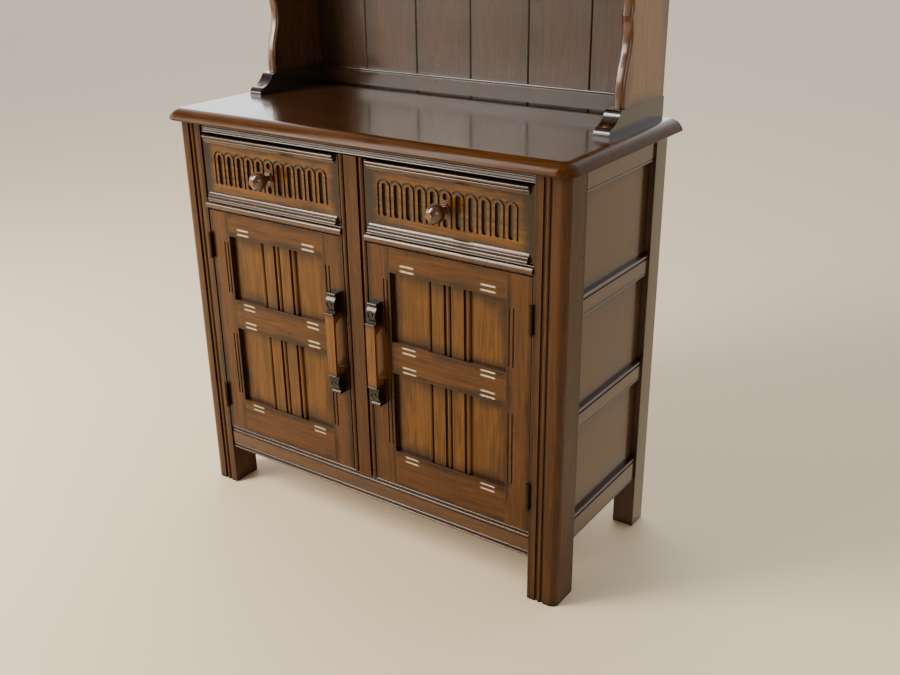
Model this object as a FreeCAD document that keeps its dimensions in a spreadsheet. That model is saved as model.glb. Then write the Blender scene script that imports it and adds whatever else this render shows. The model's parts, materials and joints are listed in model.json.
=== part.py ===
# An oak welsh dresser: a cupboard with two carved drawers over two panelled doors,
# and an open plate rack that stands on its worktop.
# It stands on Z = 0 and faces -Y, with the middle of its width and depth on the origin.
import FreeCAD, Part
import math
import os
import Sketcher

SIZES = {
    # The cupboard as a whole
    "width": 910,
    "depth": 384,
    "worktop_height": 864,
    "front_clearance": 92,
    "side_clearance": 116,
    # Worktop
    "top_thickness": 23,
    "top_front_overhang": 24,
    "top_end_overhang": 17,
    "top_rear_overhang": 28,
    "top_mould_width": 27,
    "top_lip": 4.5,
    # Posts
    "front_post_width": 62,
    "front_post_depth": 67,
    "front_post_round": 16,
    "rear_post_width": 46,
    "rear_post_depth": 46,
    "post_inner_band": 16,
    "post_quirk": 5,
    "post_bead": 8,
    # Joints of the frame
    "tenon_thickness": 8,
    "tenon_length": 24,
    "tenon_shoulder": 4,
    "mortise_room": 1,
    "panel_tongue": 7,
    "groove_room": 1,
    # Front rails and the upright between the doors
    "front_recess": 3,
    "front_rail_thickness": 24,
    "front_top_rail_height": 22,
    "drawer_rail_height": 18,
    "drawer_rail_quirk": 1.5,
    "drawer_rail_reach": 5,
    "front_bottom_rail_height": 56.5,
    "rail_bead": 4.6,
    "rail_quirk": 1.4,
    "rail_fillet": 1.4,
    "muntin_width": 58,
    "muntin_bead": 10,
    "muntin_quirk": 4,
    "muntin_tenon_length": 14,
    "door_stop_width": 86,
    "door_stop_thickness": 12,
    "door_stop_clearance": 0.5,
    # Panelled sides
    "side_rail_thickness": 20,
    "side_rail_recess": 4,
    "side_panel_recess": 13,
    "panel_thickness": 7,
    "side_top_rail_height": 44,
    "side_mid_rail_height": 40,
    "side_bottom_rail_height": 51,
    "side_bead": 6.5,
    "side_lower_bead": 4,
    "side_quirk": 1.8,
    # Back and inside
    "back_thickness": 6,
    "back_rebate": 10,
    "rear_rail_thickness": 22,
    "rear_mid_rail_height": 34,
    "floor_thickness": 15,
    "floor_housing": 6,
    "shelf_thickness": 15,
    "shelf_setback": 110,
    "cleat_section": 20,
    "board_clearance": 1,
    # Drawers
    "drawer_height": 135,
    "drawer_gap": 3,
    "drawer_side_gap": 2,
    "drawer_front_thickness": 18,
    "drawer_length": 330,
    "drawer_side_thickness": 11,
    "drawer_side_drop": 12,
    "drawer_box_inset": 3,
    "drawer_lap": 6,
    "drawer_bottom_thickness": 5,
    "drawer_bottom_rise": 10,
    "drawer_groove": 5,
    "drawer_moulding_height": 17.5,
    "drawer_moulding_reach": 9,
    "drawer_moulding_bead": 6,
    "drawer_moulding_small_bead": 4,
    "drawer_moulding_quirk": 1.2,
    "drawer_moulding_fillet": 3,
    "drawer_moulding_return": 8,
    "runner_width": 28,
    "runner_guide_height": 20,
    "runner_guide_width": 26,
    "runner_clearance": 0.2,
    "guide_clearance": 0.6,
    "kicker_height": 28,
    # Carved arcade of the drawer fronts
    "arch_pitch": 27,
    "arch_groove": 4.4,
    "arch_groove_depth": 2.6,
    "arch_height": 70,
    "arch_foot": 35,
    "slot_width": 11,
    "slot_depth": 5,
    "slot_crown": 3.5,
    "slot_break": 34,
    # Turned knobs
    "knob_diameter": 36,
    "knob_length": 50,
    "knob_base_diameter": 22,
    "knob_base_length": 4,
    "knob_neck_diameter": 14,
    "knob_boss_diameter": 13,
    "knob_boss_length": 3,
    "knob_spigot_diameter": 9,
    "knob_spigot_length": 12,
    "knob_hole_clearance": 0.1,
    # Doors
    "door_thickness": 20,
    "door_recess": 2,
    "door_gap": 2,
    "stile_width": 51,
    "door_top_rail_height": 50,
    "door_mid_rail_height": 65,
    "door_bottom_rail_height": 77,
    "upper_panel_height": 142,
    "door_panel_recess": 10,
    "strip_rise": 6,
    "strip_flat": 27,
    "strip_bead": 9,
    "strip_quirk": 4,
    "stile_line_offset": 6,
    "stile_line_pitch": 8.5,
    "stile_line_width": 3.6,
    "stile_line_stop": 14,
    "dash_offset": 7,
    "dash_pitch": 10,
    "dash_width": 4.4,
    "dash_length": 43,
    "dash_inset": 18,
    "carving_depth": 1.8,
    # Bridge handles
    "handle_length": 217,
    "handle_width": 21.6,
    "handle_depth": 29,
    "handle_bar_thickness": 5.5,
    "handle_block_length": 43.5,
    "handle_gap_length": 110,
    "handle_step": 6,
    "handle_fall": 3,
    "handle_crown": 4,
    "handle_ridge": 3.5,
    "handle_roll": 6,
    "handle_hollow": 4,
    "handle_cove": 12,
    "handle_edge_distance": 20,
    "handle_rise": 33.25,
    "eye_radius": 7.2,
    "eye_groove_width": 3.2,
    "eye_groove_depth": 1.7,
    # Butt hinges
    "hinge_length": 57,
    "hinge_end_distance": 49,
    "hinge_gap": 2.4,
    "leaf_thickness": 1,
    "leaf_width": 20,
    "knuckle_radius": 3.5,
    "knuckle_stand_off": 3.8,
    "knuckle_end_gap": 0.3,
    "pin_radius": 1.25,
    "pin_clearance": 0.05,
    # Plate rack
    "rack_width": 856,
    "rack_depth": 168,
    "rack_height": 800,
    "rack_side_thickness": 22,
    "rack_foot_thickness": 31,
    "rack_foot_step": 2,
    "rack_foot_height": 41,
    "rack_foot_reach": 57,
    "rack_foot_nose": 10,
    "rack_tongue": 10,
    "rack_lower_shelf_rise": 336,
    "rack_upper_shelf_rise": 578,
    "rack_shelf_thickness": 18,
    "rack_shelf_housing": 7,
    "rack_turn": 11,
    "rack_cusp": 13,
    "rack_cusp_step": 5,
    "rack_edge_land": 40,
    "rack_shelf_setback": 8,
    "plate_groove_width": 9,
    "plate_groove_depth": 4,
    "plate_groove_distance": 46,
    "rack_board_thickness": 9,
    "rack_board_rebate": 10,
    "rack_board_lap": 6,
    "board_chamfer": 2.2,
    "back_rail_height": 35,
    "back_rail_thickness": 13,
    "back_rail_clearance": 5,
    "frieze_height": 78,
    "frieze_thickness": 18,
    "frieze_rise": 34,
    "frieze_end": 46,
    "rack_top_thickness": 22,
    "rack_top_overhang": 22,
    "rack_top_mould_width": 22,
    "rack_top_lip": 4.5,
    # Screws that hold the rack's feet down
    "screw_head_diameter": 13,
    "screw_head_length": 4,
    "screw_shank_diameter": 5,
    "screw_length": 32,
    "screw_distance": 19,
    "screw_rise": 15.2,
    "screw_clearance": 0.1,
}
ARCHES = 11
KNUCKLES = 5
RACK_BOARDS = 6
QUARTER_TURN = math.tan(math.pi / 8)
HALF_TURN = 1.0
SHALLOW_TURN = 0.2
FAINT_TURN = 0.12
CUSP_LEVEL = 0.615
TURN_LEVEL = 0.32
SIDES = {"left": -1, "right": 1}

doc = FreeCAD.newDocument("welsh_dresser")
nodes = []


class Size:
    """A length worked out from the sheet: its value now and the expression that binds it."""

    def __init__(self, value, text):
        self.value = float(value)
        self.text = text

    def __add__(self, other):
        other = size_of(other)
        return Size(self.value + other.value, f"({self.text} + {other.text})")

    def __sub__(self, other):
        other = size_of(other)
        return Size(self.value - other.value, f"({self.text} - {other.text})")

    def __mul__(self, other):
        other = size_of(other)
        return Size(self.value * other.value, f"({self.text} * {other.text})")

    def __truediv__(self, other):
        other = size_of(other)
        return Size(self.value / other.value, f"({self.text} / {other.text})")

    def __neg__(self):
        return Size(-self.value, f"(0 - {self.text})")

    def __radd__(self, other):
        return size_of(other) + self

    def __rsub__(self, other):
        return size_of(other) - self

    def __rmul__(self, other):
        return size_of(other) * self

    def root(self):
        return Size(math.sqrt(self.value), f"sqrt({self.text})")


def size_of(number):
    """A plain number as a size, so that both kinds can be mixed in a sum."""
    if isinstance(number, Size):
        return number
    if number < 0:
        return Size(number, f"(0 - {-number:.9f})")
    return Size(number, f"{number:.9f}")


class Sheet:
    """The spreadsheet of driving dimensions, read by name."""

    def __init__(self):
        self.cells = doc.addObject("Spreadsheet::Sheet", "Sizes")
        for row, (alias, number) in enumerate(SIZES.items(), 1):
            self.cells.set(f"A{row}", alias)
            self.cells.set(f"B{row}", str(number))
            self.cells.setAlias(f"B{row}", alias)
        doc.recompute()

    def __getattr__(self, alias):
        return Size(getattr(self.cells, alias), f"Sizes.{alias}")


S = Sheet()


# Ways of making a piece


def bind(target, prop, length):
    """Tie one property of an object to the sheet."""
    target.setExpression(prop, size_of(length).text)


def place(target, x=0, y=0, z=0):
    """Tie the position of an object to the sheet."""
    bind(target, "Placement.Base.x", x)
    bind(target, "Placement.Base.y", y)
    bind(target, "Placement.Base.z", z)


def box(name, x, y, z):
    """A square-edged block between the low and high ends given along each axis."""
    block = doc.addObject("Part::Box", name)
    bind(block, "Length", x[1] - x[0])
    bind(block, "Width", y[1] - y[0])
    bind(block, "Height", z[1] - z[0])
    place(block, x[0], y[0], z[0])
    return block


def rod(name, radius, length, x, y, z, turn=None):
    """A round bar that starts at a point and runs up, or along the turned Z axis."""
    bar = doc.addObject("Part::Cylinder", name)
    bind(bar, "Radius", radius)
    bind(bar, "Height", length)
    if turn:
        bar.Placement.Rotation = turn
    place(bar, x, y, z)
    return bar


def cut(name, base, tools):
    """A piece with joints or hollows cut out of it."""
    tool = tools[0]
    if len(tools) > 1:
        tool = doc.addObject("Part::MultiFuse", name + "_cutters")
        tool.Shapes = tools
    piece = doc.addObject("Part::Cut", name)
    piece.Base = base
    piece.Tool = tool
    return piece


def join(name, shapes):
    """One solid made of several that touch."""
    piece = doc.addObject("Part::MultiFuse", name)
    piece.Shapes = shapes
    return piece


def group(name, shapes):
    """Separate solids that share one node."""
    piece = doc.addObject("Part::Compound", name)
    piece.Links = shapes
    return piece


def node(piece, label):
    """Mark a finished piece as a sub-part of the dresser."""
    piece.Label = label
    nodes.append(piece)
    return piece


def arc_between(start, end, bulge):
    """An arc from start to end, the centre bound, with bulge the tangent of a quarter of its turn."""
    lean = (1 - bulge * bulge) / (4 * bulge)
    centre_u = (start[0] + end[0]) / 2 - (end[1] - start[1]) * lean
    centre_v = (start[1] + end[1]) / 2 + (end[0] - start[0]) * lean
    centre = FreeCAD.Vector(centre_u.value, centre_v.value, 0)
    first, last = (start, end) if bulge > 0 else (end, start)
    circle = Part.Circle(centre, FreeCAD.Vector(0, 0, 1), 1)
    reach = FreeCAD.Vector(first[0].value, first[1].value, 0) - centre
    finish = FreeCAD.Vector(last[0].value, last[1].value, 0) - centre
    circle.Radius = reach.Length
    begin_angle = math.atan2(reach.y, reach.x)
    end_angle = math.atan2(finish.y, finish.x)
    if end_angle <= begin_angle:
        end_angle += 2 * math.pi
    return Part.ArcOfCircle(circle, begin_angle, end_angle), centre_u, centre_v


def draw(sketch, outline, closed=True):
    """Add an outline to a sketch: corners (u, v), or (u, v, bulge) reached by an arc."""
    corners = [tuple(size_of(part) for part in corner[:2]) for corner in outline]
    bulges = [corner[2] if len(corner) > 2 else 0 for corner in outline]
    first_edge = sketch.GeometryCount
    shapes = []
    edges = []
    dimensions = []
    for number in range(0 if closed else 1, len(corners)):
        start = corners[number - 1]
        corner = corners[number]
        edge = first_edge + len(shapes)
        begin, end = (1, 2) if bulges[number] >= 0 else (2, 1)
        if bulges[number]:
            shape, centre_u, centre_v = arc_between(start, corner, bulges[number])
            wide = abs((corner[0] - start[0]).value) >= abs((corner[1] - start[1]).value)
            dimensions.append(("DistanceY", edge, 3, centre_v) if wide else ("DistanceX", edge, 3, centre_u))
        else:
            points = [FreeCAD.Vector(spot[0].value, spot[1].value, 0) for spot in (start, corner)]
            shape = Part.LineSegment(*points)
        shapes.append(shape)
        edges.append((edge, begin, end))
        dimensions.append(("DistanceX", edge, end, corner[0]))
        dimensions.append(("DistanceY", edge, end, corner[1]))
    if not closed:
        dimensions.append(("DistanceX", edges[0][0], edges[0][1], corners[0][0]))
        dimensions.append(("DistanceY", edges[0][0], edges[0][1], corners[0][1]))
    followers = edges[1:] + edges[:1] if closed else edges[1:]
    meetings = [Sketcher.Constraint("Coincident", edge[0], edge[2], follower[0], follower[1])
                for edge, follower in zip(edges, followers)]
    distances = [Sketcher.Constraint(kind, -1, 1, edge, point, length.value)
                 for kind, edge, point, length in dimensions]
    first_distance = sketch.ConstraintCount + len(meetings)
    sketch.addGeometry(shapes, False)
    sketch.addConstraint(meetings + distances)
    for index, dimension in enumerate(dimensions, first_distance):
        sketch.setExpression(f"Constraints[{index}]", dimension[3].text)


def sketch_on(body, plane, outlines, offset=None, closed=True):
    """A sketch on one of a body's own planes, moved along the plane's normal by an offset."""
    sketch = body.newObject("Sketcher::SketchObject", f"{body.Name}_sketch")
    support = [feature for feature in body.Origin.OriginFeatures if feature.Role == f"{plane}_Plane"]
    sketch.AttachmentSupport = [(support[0], "")]
    sketch.MapMode = "FlatFace"
    if offset is not None:
        bind(sketch, "AttachmentOffset.Base.z", offset)
    for outline in outlines:
        draw(sketch, outline, closed)
    return sketch


def pad(body, sketch, length, reverse=False, middle=False):
    """Thicken a sketch into the body."""
    feature = body.newObject("PartDesign::Pad", f"{body.Name}_pad")
    feature.Profile = sketch
    feature.Reversed = reverse
    feature.Midplane = middle
    bind(feature, "Length", length)
    return feature


def pocket(body, sketch, depth, reverse=False):
    """Sink a sketch into the body."""
    feature = body.newObject("PartDesign::Pocket", f"{body.Name}_pocket")
    feature.Profile = sketch
    feature.Reversed = reverse
    bind(feature, "Length", depth)
    return feature


def prism(name, plane, outline, start, length):
    """A body of one section: XY sections rise along Z, YZ run along X and XZ run along Y."""
    body = doc.addObject("PartDesign::Body", name)
    pad(body, sketch_on(body, plane, [outline]), length, reverse=plane == "XZ")
    axis = {"XY": "z", "YZ": "x", "XZ": "y"}[plane]
    place(body, **{axis: start})
    return body


def turning(name, outline):
    """A body turned round its own Z axis from half of its section, drawn as (radius, height)."""
    body = doc.addObject("PartDesign::Body", name)
    sketch = sketch_on(body, "XZ", [outline])
    feature = body.newObject("PartDesign::Revolution", f"{name}_turning")
    feature.Profile = sketch
    feature.ReferenceAxis = (sketch, ["V_Axis"])
    feature.Angle = 360
    return body


# Outlines shared by several pieces


def rectangle(u, v):
    """A plain oblong between the low and high ends given along each axis."""
    return [(u[0], v[0]), (u[1], v[0]), (u[1], v[1]), (u[0], v[1])]


def slot(u, v):
    """An upright slot with round ends."""
    radius = (u[1] - u[0]) / 2
    low = v[0] + radius
    high = v[1] - radius
    return [(u[0], high, HALF_TURN), (u[0], low), (u[1], low, HALF_TURN), (u[1], high)]


def reeded(items):
    """Corners (along, depth, bulge) of a face worked with flats, sunk beads and edge beads.

    A flat is a length. A reed is ("reed", quirk, bead), ("first", quirk, bead) at the start of
    the face or ("last", quirk, bead) at its end, where the bead rounds the corner of the piece.
    """
    along = size_of(0)
    depth = size_of(0)
    corners = []
    if not isinstance(items[0], tuple):
        corners.append((along, depth, 0))
    for item in items:
        if not isinstance(item, tuple):
            along = along + item
            corners.append((along, depth, 0))
            continue
        kind, quirk, bead = item
        sunk = bead / 2
        corners.append((along, sunk, 0))
        if kind != "first":
            along = along + quirk
            corners.append((along, sunk, 0))
        along = along + bead
        corners.append((along, sunk, HALF_TURN))
        if kind != "last":
            along = along + quirk
            corners.append((along, sunk, 0))
            corners.append((along, depth, 0))
    return corners


def mirrored(outline, side):
    """An outline for the right side, or its mirror image for the left."""
    if side > 0:
        return outline
    return [(-corner[0], corner[1], -corner[2] if len(corner) > 2 else 0) for corner in outline]


def span(side, near, far):
    """The low and high X of what lies between two distances from the middle."""
    if side > 0:
        return near, far
    return -far, -near


# Levels and distances that the pieces share

half_width = S.width / 2
post_inner = half_width - S.front_post_width
rear_post_inner = half_width - S.rear_post_width
front = (S.knob_length - S.front_recess - S.depth - S.top_rear_overhang) / 2
rear = front + S.depth
top_rear = rear + S.top_rear_overhang
rail_face = front + S.front_recess
rail_back = rail_face + S.front_rail_thickness
rear_post_front = rear - S.rear_post_depth
front_post_rear = front + S.front_post_depth
top_under = S.worktop_height - S.top_thickness
top_rail_bottom = top_under - S.front_top_rail_height
bottom_rail_top = S.front_clearance + S.front_bottom_rail_height
drawer_top = top_rail_bottom - S.drawer_gap
drawer_bottom = drawer_top - S.drawer_height
drawer_rail_top = drawer_bottom - S.drawer_gap
drawer_rail_bottom = drawer_rail_top - S.drawer_rail_height
door_top = drawer_rail_bottom - S.door_gap
door_bottom = bottom_rail_top + S.door_gap
door_face = front + S.door_recess
door_back = door_face + S.door_thickness
muntin_half = S.muntin_width / 2
door_near = muntin_half + S.door_gap
door_far = post_inner - S.hinge_gap
tenon_middle = rail_face + S.front_rail_thickness / 2
side_face = half_width - S.side_rail_recess
side_inner = side_face - S.side_rail_thickness
side_middle = side_face - S.side_rail_thickness / 2
side_panel_face = half_width - S.side_panel_recess
side_panel_inner = side_panel_face - S.panel_thickness
side_panel_height = (top_under - S.side_clearance - S.side_top_rail_height
                     - 2 * S.side_mid_rail_height - S.side_bottom_rail_height) / 3
back_inner = rear - S.back_thickness
rear_rail_front = back_inner - S.rear_rail_thickness
rear_tenon_middle = back_inner - S.rear_rail_thickness / 2
muntin_back = door_back + S.door_stop_clearance
tongue_groove = S.panel_tongue + S.groove_room
mortise_length = S.tenon_length + S.mortise_room
floor_low = bottom_rail_top - S.floor_thickness
drawer_near = muntin_half + S.drawer_side_gap
drawer_far = post_inner - S.drawer_side_gap
hinge_axis_x = post_inner - S.hinge_gap / 2
hinge_axis_y = front - S.knuckle_stand_off
rack_half = S.rack_width / 2
rack_inner = rack_half - S.rack_side_thickness
foot_outer = rack_half + S.rack_foot_step
foot_inner = foot_outer - S.rack_foot_thickness
foot_top = S.worktop_height + S.rack_foot_height
rack_front = top_rear - S.rack_depth
foot_front = rack_front - S.rack_foot_reach
rack_top = S.worktop_height + S.rack_height
board_face = top_rear - S.rack_board_thickness


def tenon_range(middle):
    """Low and high of a tenon across its thickness."""
    return middle - S.tenon_thickness / 2, middle + S.tenon_thickness / 2


def shouldered(level, shoulder):
    """A rail's low and high, drawn in by the shoulders above and below its tenon."""
    return level[0] + shoulder, level[1] - shoulder


def side_levels():
    """Low and high of the four rails of a side, from the bottom up."""
    levels = []
    low = S.side_clearance
    for height in (S.side_bottom_rail_height, S.side_mid_rail_height,
                   S.side_mid_rail_height, S.side_top_rail_height):
        levels.append((low, low + height))
        low = low + height + side_panel_height
    return levels


def front_levels():
    """Low and high of the three rails that meet a front post."""
    return {
        "front_bottom_rail": (S.front_clearance, bottom_rail_top),
        "drawer_rail": (drawer_rail_bottom, drawer_rail_top),
        "front_top_rail": (top_rail_bottom, top_under),
    }


def rear_levels():
    """Low and high of the three rails between the rear posts."""
    levels = side_levels()
    return [levels[0], (drawer_rail_top - S.rear_mid_rail_height, drawer_rail_top), levels[-1]]


# Posts of the cupboard


def side_mortises(name, side, y, groove_y):
    """Mortises for the side rails and the groove for the side panels, at one post."""
    levels = side_levels()
    x = span(side, *tenon_range(side_middle))
    cutters = [box(name + "_mortise", x, y, shouldered(level, tongue_groove)) for level in levels]
    run = (levels[0][0] + tongue_groove, levels[-1][1] - tongue_groove)
    cutters.append(box(name + "_groove", span(side, side_panel_inner, side_panel_face), groove_y, run))
    return cutters


def front_post(name, side):
    """A front post with a bead sunk in its face and its outer corner rounded."""
    reed_width = 2 * S.post_quirk + S.post_bead
    outer_band = S.front_post_width - S.post_inner_band - reed_width - S.front_post_round
    face = reeded([S.post_inner_band, ("reed", S.post_quirk, S.post_bead), outer_band])
    outline = [(post_inner + along, front + depth, bulge) for along, depth, bulge in face]
    outline.append((half_width, front + S.front_post_round, QUARTER_TURN))
    outline.append((half_width, front_post_rear))
    outline.append((post_inner, front_post_rear))
    section = prism(name + "_section", "XY", mirrored(outline, side), 0, top_under)
    cutters = side_mortises(name, side, (front_post_rear - mortise_length, front_post_rear),
                            (front_post_rear - tongue_groove, front_post_rear))
    x = span(side, post_inner, post_inner + mortise_length)
    for level in front_levels().values():
        z = shouldered(level, S.tenon_shoulder)
        cutters.append(box(name + "_mortise", x, tenon_range(tenon_middle), z))
    node(cut(name + "_jointed", section, cutters), name)


def rear_post(name, side):
    """A square rear post, rebated for the back panel."""
    x = span(side, rear_post_inner, half_width)
    section = box(name + "_section", x, (rear_post_front, rear), (size_of(0), top_under))
    cutters = side_mortises(name, side, (rear_post_front, rear_post_front + mortise_length),
                            (rear_post_front, rear_post_front + tongue_groove))
    x = span(side, rear_post_inner, rear_post_inner + mortise_length)
    for level in rear_levels():
        z = shouldered(level, S.tenon_shoulder)
        cutters.append(box(name + "_mortise", x, tenon_range(rear_tenon_middle), z))
    x = span(side, rear_post_inner, rear_post_inner + S.back_rebate)
    cutters.append(box(name + "_rebate", x, (back_inner, rear), (S.side_clearance, top_under)))
    node(cut(name + "_jointed", section, cutters), name)


# Front of the cupboard


def beaded_rail(name, level, items, joints):
    """A front rail worked with beads, tenoned into both posts."""
    face = reeded(items)
    outline = [(rail_face + depth, level[0] + along, -bulge) for along, depth, bulge in face]
    outline.append((rail_back, level[1]))
    outline.append((rail_back, level[0]))
    section = prism(name + "_section", "YZ", outline, -post_inner, 2 * post_inner)
    tenon_reach = post_inner + S.tenon_length
    tenons = [box(name + "_tenon", span(side, post_inner, tenon_reach), tenon_range(tenon_middle),
                  shouldered(level, S.tenon_shoulder)) for side in SIDES.values()]
    node(cut(name + "_jointed", join(name + "_tenoned", [section] + tenons), joints), name)


def muntin_tenon_x():
    """The width of the tenons at the ends of the centre muntin."""
    reach = muntin_half - 2 * S.tenon_shoulder
    return -reach, reach


def front_top_rail():
    """The shallow rail under the worktop, with two beads along its lower edge."""
    bead = ("first", S.rail_quirk, S.rail_bead)
    reed = ("reed", S.rail_quirk, S.rail_bead)
    worked = 3 * S.rail_quirk + 2 * S.rail_bead + S.rail_fillet
    mortise = box("top_rail_mortise", muntin_tenon_x(), tenon_range(tenon_middle),
                  (top_rail_bottom, top_rail_bottom + S.muntin_tenon_length + S.mortise_room))
    items = [bead, S.rail_fillet, reed, S.front_top_rail_height - worked]
    beaded_rail("front_top_rail", front_levels()["front_top_rail"], items, [mortise])


def front_bottom_rail():
    """The rail under the doors, with a pair of beads along each edge and a housing for the floor."""
    reed = ("reed", S.rail_quirk, S.rail_bead)
    worked = 2 * (3 * S.rail_quirk + 2 * S.rail_bead + S.rail_fillet)
    items = [("first", S.rail_quirk, S.rail_bead), S.rail_fillet, reed, S.front_bottom_rail_height - worked,
             reed, S.rail_fillet, ("last", S.rail_quirk, S.rail_bead)]
    mortise = box("bottom_rail_mortise", muntin_tenon_x(), tenon_range(tenon_middle),
                  (bottom_rail_top - S.muntin_tenon_length - S.mortise_room, bottom_rail_top))
    housing = box("bottom_rail_housing", (-post_inner, post_inner), (rail_back - S.floor_housing, rail_back),
                  (floor_low, bottom_rail_top))
    beaded_rail("front_bottom_rail", front_levels()["front_bottom_rail"], items, [mortise, housing])


def drawer_rail(name, side):
    """A rail between a drawer and its door, with a round nose that stands before the posts."""
    low, high = front_levels()["drawer_rail"]
    radius = S.drawer_rail_height / 2 - S.drawer_rail_quirk
    flat = front - S.drawer_rail_reach + radius
    quirk = S.drawer_rail_quirk
    outline = [(flat, low), (flat, low + quirk), (flat, high - quirk, -HALF_TURN), (flat, high),
               (rail_back, high), (rail_back, low)]
    x = span(side, muntin_half, post_inner)
    section = prism(name + "_section", "YZ", outline, x[0], x[1] - x[0])
    z = shouldered((low, high), S.tenon_shoulder)
    reach = span(side, muntin_half - S.tenon_length, post_inner + S.tenon_length)
    tenon = box(name + "_tenons", reach, tenon_range(tenon_middle), z)
    return join(name + "_tenoned", [section, tenon])


def centre_muntin():
    """The upright between the drawers and between the doors, with a bead down each edge."""
    flat = S.muntin_width - 2 * (S.muntin_quirk + S.muntin_bead)
    face = reeded([("first", S.muntin_quirk, S.muntin_bead), flat, ("last", S.muntin_quirk, S.muntin_bead)])
    outline = [(along - muntin_half, front + depth, bulge) for along, depth, bulge in face]
    outline.append((muntin_half, muntin_back))
    outline.append((-muntin_half, muntin_back))
    section = prism("muntin_section", "XY", outline, bottom_rail_top, top_rail_bottom - bottom_rail_top)
    reach = (bottom_rail_top - S.muntin_tenon_length, top_rail_bottom + S.muntin_tenon_length)
    tenon = box("muntin_tenons", muntin_tenon_x(), tenon_range(tenon_middle), reach)
    z = shouldered(front_levels()["drawer_rail"], S.tenon_shoulder)
    mortises = [box("muntin_mortise", span(side, muntin_half - mortise_length, muntin_half),
                    tenon_range(tenon_middle), z) for side in SIDES.values()]
    node(cut("muntin_jointed", join("muntin_tenoned", [section, tenon]), mortises), "centre_muntin")


def door_stop():
    """The strip behind the centre muntin that the doors close against."""
    reach = S.door_stop_width / 2
    stop = box("door_stop_strip", (-reach, reach), (muntin_back, muntin_back + S.door_stop_thickness),
               (bottom_rail_top, drawer_rail_bottom))
    node(stop, "door_stop")


# Panelled sides, back and inside


def side_rail(name, side, number):
    """One rail of a side, beaded along both edges and grooved for the panels next to it."""
    level = side_levels()[number]
    last = len(side_levels()) - 1
    flat = level[1] - level[0] - 2 * S.side_quirk - S.side_lower_bead - S.side_bead
    face = reeded([("first", S.side_quirk, S.side_lower_bead), flat, ("last", S.side_quirk, S.side_bead)])
    outline = [(side_face - depth, level[0] + along, bulge) for along, depth, bulge in face]
    if number < last:
        outline.append((side_panel_face, level[1]))
        outline.append((side_panel_face, level[1] - tongue_groove))
        outline.append((side_panel_inner, level[1] - tongue_groove))
        outline.append((side_panel_inner, level[1]))
    outline.append((side_inner, level[1]))
    outline.append((side_inner, level[0]))
    if number > 0:
        outline.append((side_panel_inner, level[0]))
        outline.append((side_panel_inner, level[0] + tongue_groove))
        outline.append((side_panel_face, level[0] + tongue_groove))
        outline.append((side_panel_face, level[0]))
    section = prism(name + "_section", "XZ", mirrored(outline, side), front_post_rear,
                    rear_post_front - front_post_rear)
    reach = (front_post_rear - S.tenon_length, rear_post_front + S.tenon_length)
    tenon = box(name + "_tenons", span(side, *tenon_range(side_middle)), reach,
                shouldered(level, tongue_groove))
    rail = join(name + "_tenoned", [section, tenon])
    if number == 0:
        housing = box(name + "_housing", span(side, side_inner, side_inner + S.floor_housing),
                      (front_post_rear, rear_post_front), (floor_low, bottom_rail_top))
        rail = cut(name + "_housed", rail, [housing])
    return rail


def side_frame(name, side):
    """The rails and the three panels of one side."""
    levels = side_levels()
    rails = [side_rail(f"{name}_rail_{number}", side, number) for number in range(len(levels))]
    node(group(name + "_rail_set", rails), f"{name}_side_rails")
    x = span(side, side_panel_inner, side_panel_face)
    y = (front_post_rear - S.panel_tongue, rear_post_front + S.panel_tongue)
    panels = [box(f"{name}_panel", x, y, (below[1] - S.panel_tongue, above[0] + S.panel_tongue))
              for below, above in zip(levels, levels[1:])]
    node(group(name + "_panel_set", panels), f"{name}_side_panels")


def rear_rails():
    """The three plain rails between the rear posts; the lowest is housed for the floor."""
    rails = []
    reach = rear_post_inner + S.tenon_length
    for level in rear_levels():
        board = box("rear_rail_board", (-rear_post_inner, rear_post_inner),
                    (rear_rail_front, back_inner), level)
        tenon = box("rear_rail_tenons", (-reach, reach), tenon_range(rear_tenon_middle),
                    shouldered(level, S.tenon_shoulder))
        rails.append(join("rear_rail", [board, tenon]))
    housing = box("rear_rail_housing", (-rear_post_inner, rear_post_inner),
                  (rear_rail_front, rear_rail_front + S.floor_housing), (floor_low, bottom_rail_top))
    rails[0] = cut("rear_bottom_rail", rails[0], [housing])
    node(group("rear_rail_set", rails), "rear_rails")


def back_panel():
    """The thin panel let into the back."""
    reach = rear_post_inner + S.back_rebate
    panel = box("back_board", (-reach, reach), (back_inner, rear), (S.side_clearance, top_under))
    node(panel, "base_back_panel")


def rear_notches(name, z):
    """Cut-outs that clear the rear posts by the board clearance."""
    near = rear_post_inner - S.board_clearance
    y = (rear_post_front - S.board_clearance, rear)
    return [box(name + "_notch", span(side, near, half_width), y, z) for side in SIDES.values()]


def cupboard_floor():
    """The floor, housed in the bottom rails and notched round the posts."""
    reach = side_inner + S.floor_housing
    z = (floor_low, bottom_rail_top)
    y = (rail_back - S.floor_housing, rear_rail_front + S.floor_housing)
    board = box("floor_board", (-reach, reach), y, z)
    near = post_inner - S.board_clearance
    notches = rear_notches("floor", z)
    for side in SIDES.values():
        notches.append(box("floor_notch", span(side, near, half_width),
                           (front, front_post_rear + S.board_clearance), z))
    node(cut("floor_notched", board, notches), "cupboard_floor")


def cupboard_shelf():
    """A shelf half way up, on cleats fixed to the side rails."""
    rest = side_levels()[1][1]
    y = (front_post_rear, rear_post_front)
    cleats = [box("shelf_cleat", span(side, side_inner - S.cleat_section, side_inner), y,
                  (rest - S.cleat_section, rest)) for side in SIDES.values()]
    node(group("shelf_cleat_set", cleats), "shelf_cleats")
    reach = side_inner - S.board_clearance
    z = (rest, rest + S.shelf_thickness)
    board = box("shelf_board", (-reach, reach), (front + S.shelf_setback, back_inner - S.board_clearance), z)
    node(cut("shelf_notched", board, rear_notches("shelf", z)), "cupboard_shelf")


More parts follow.
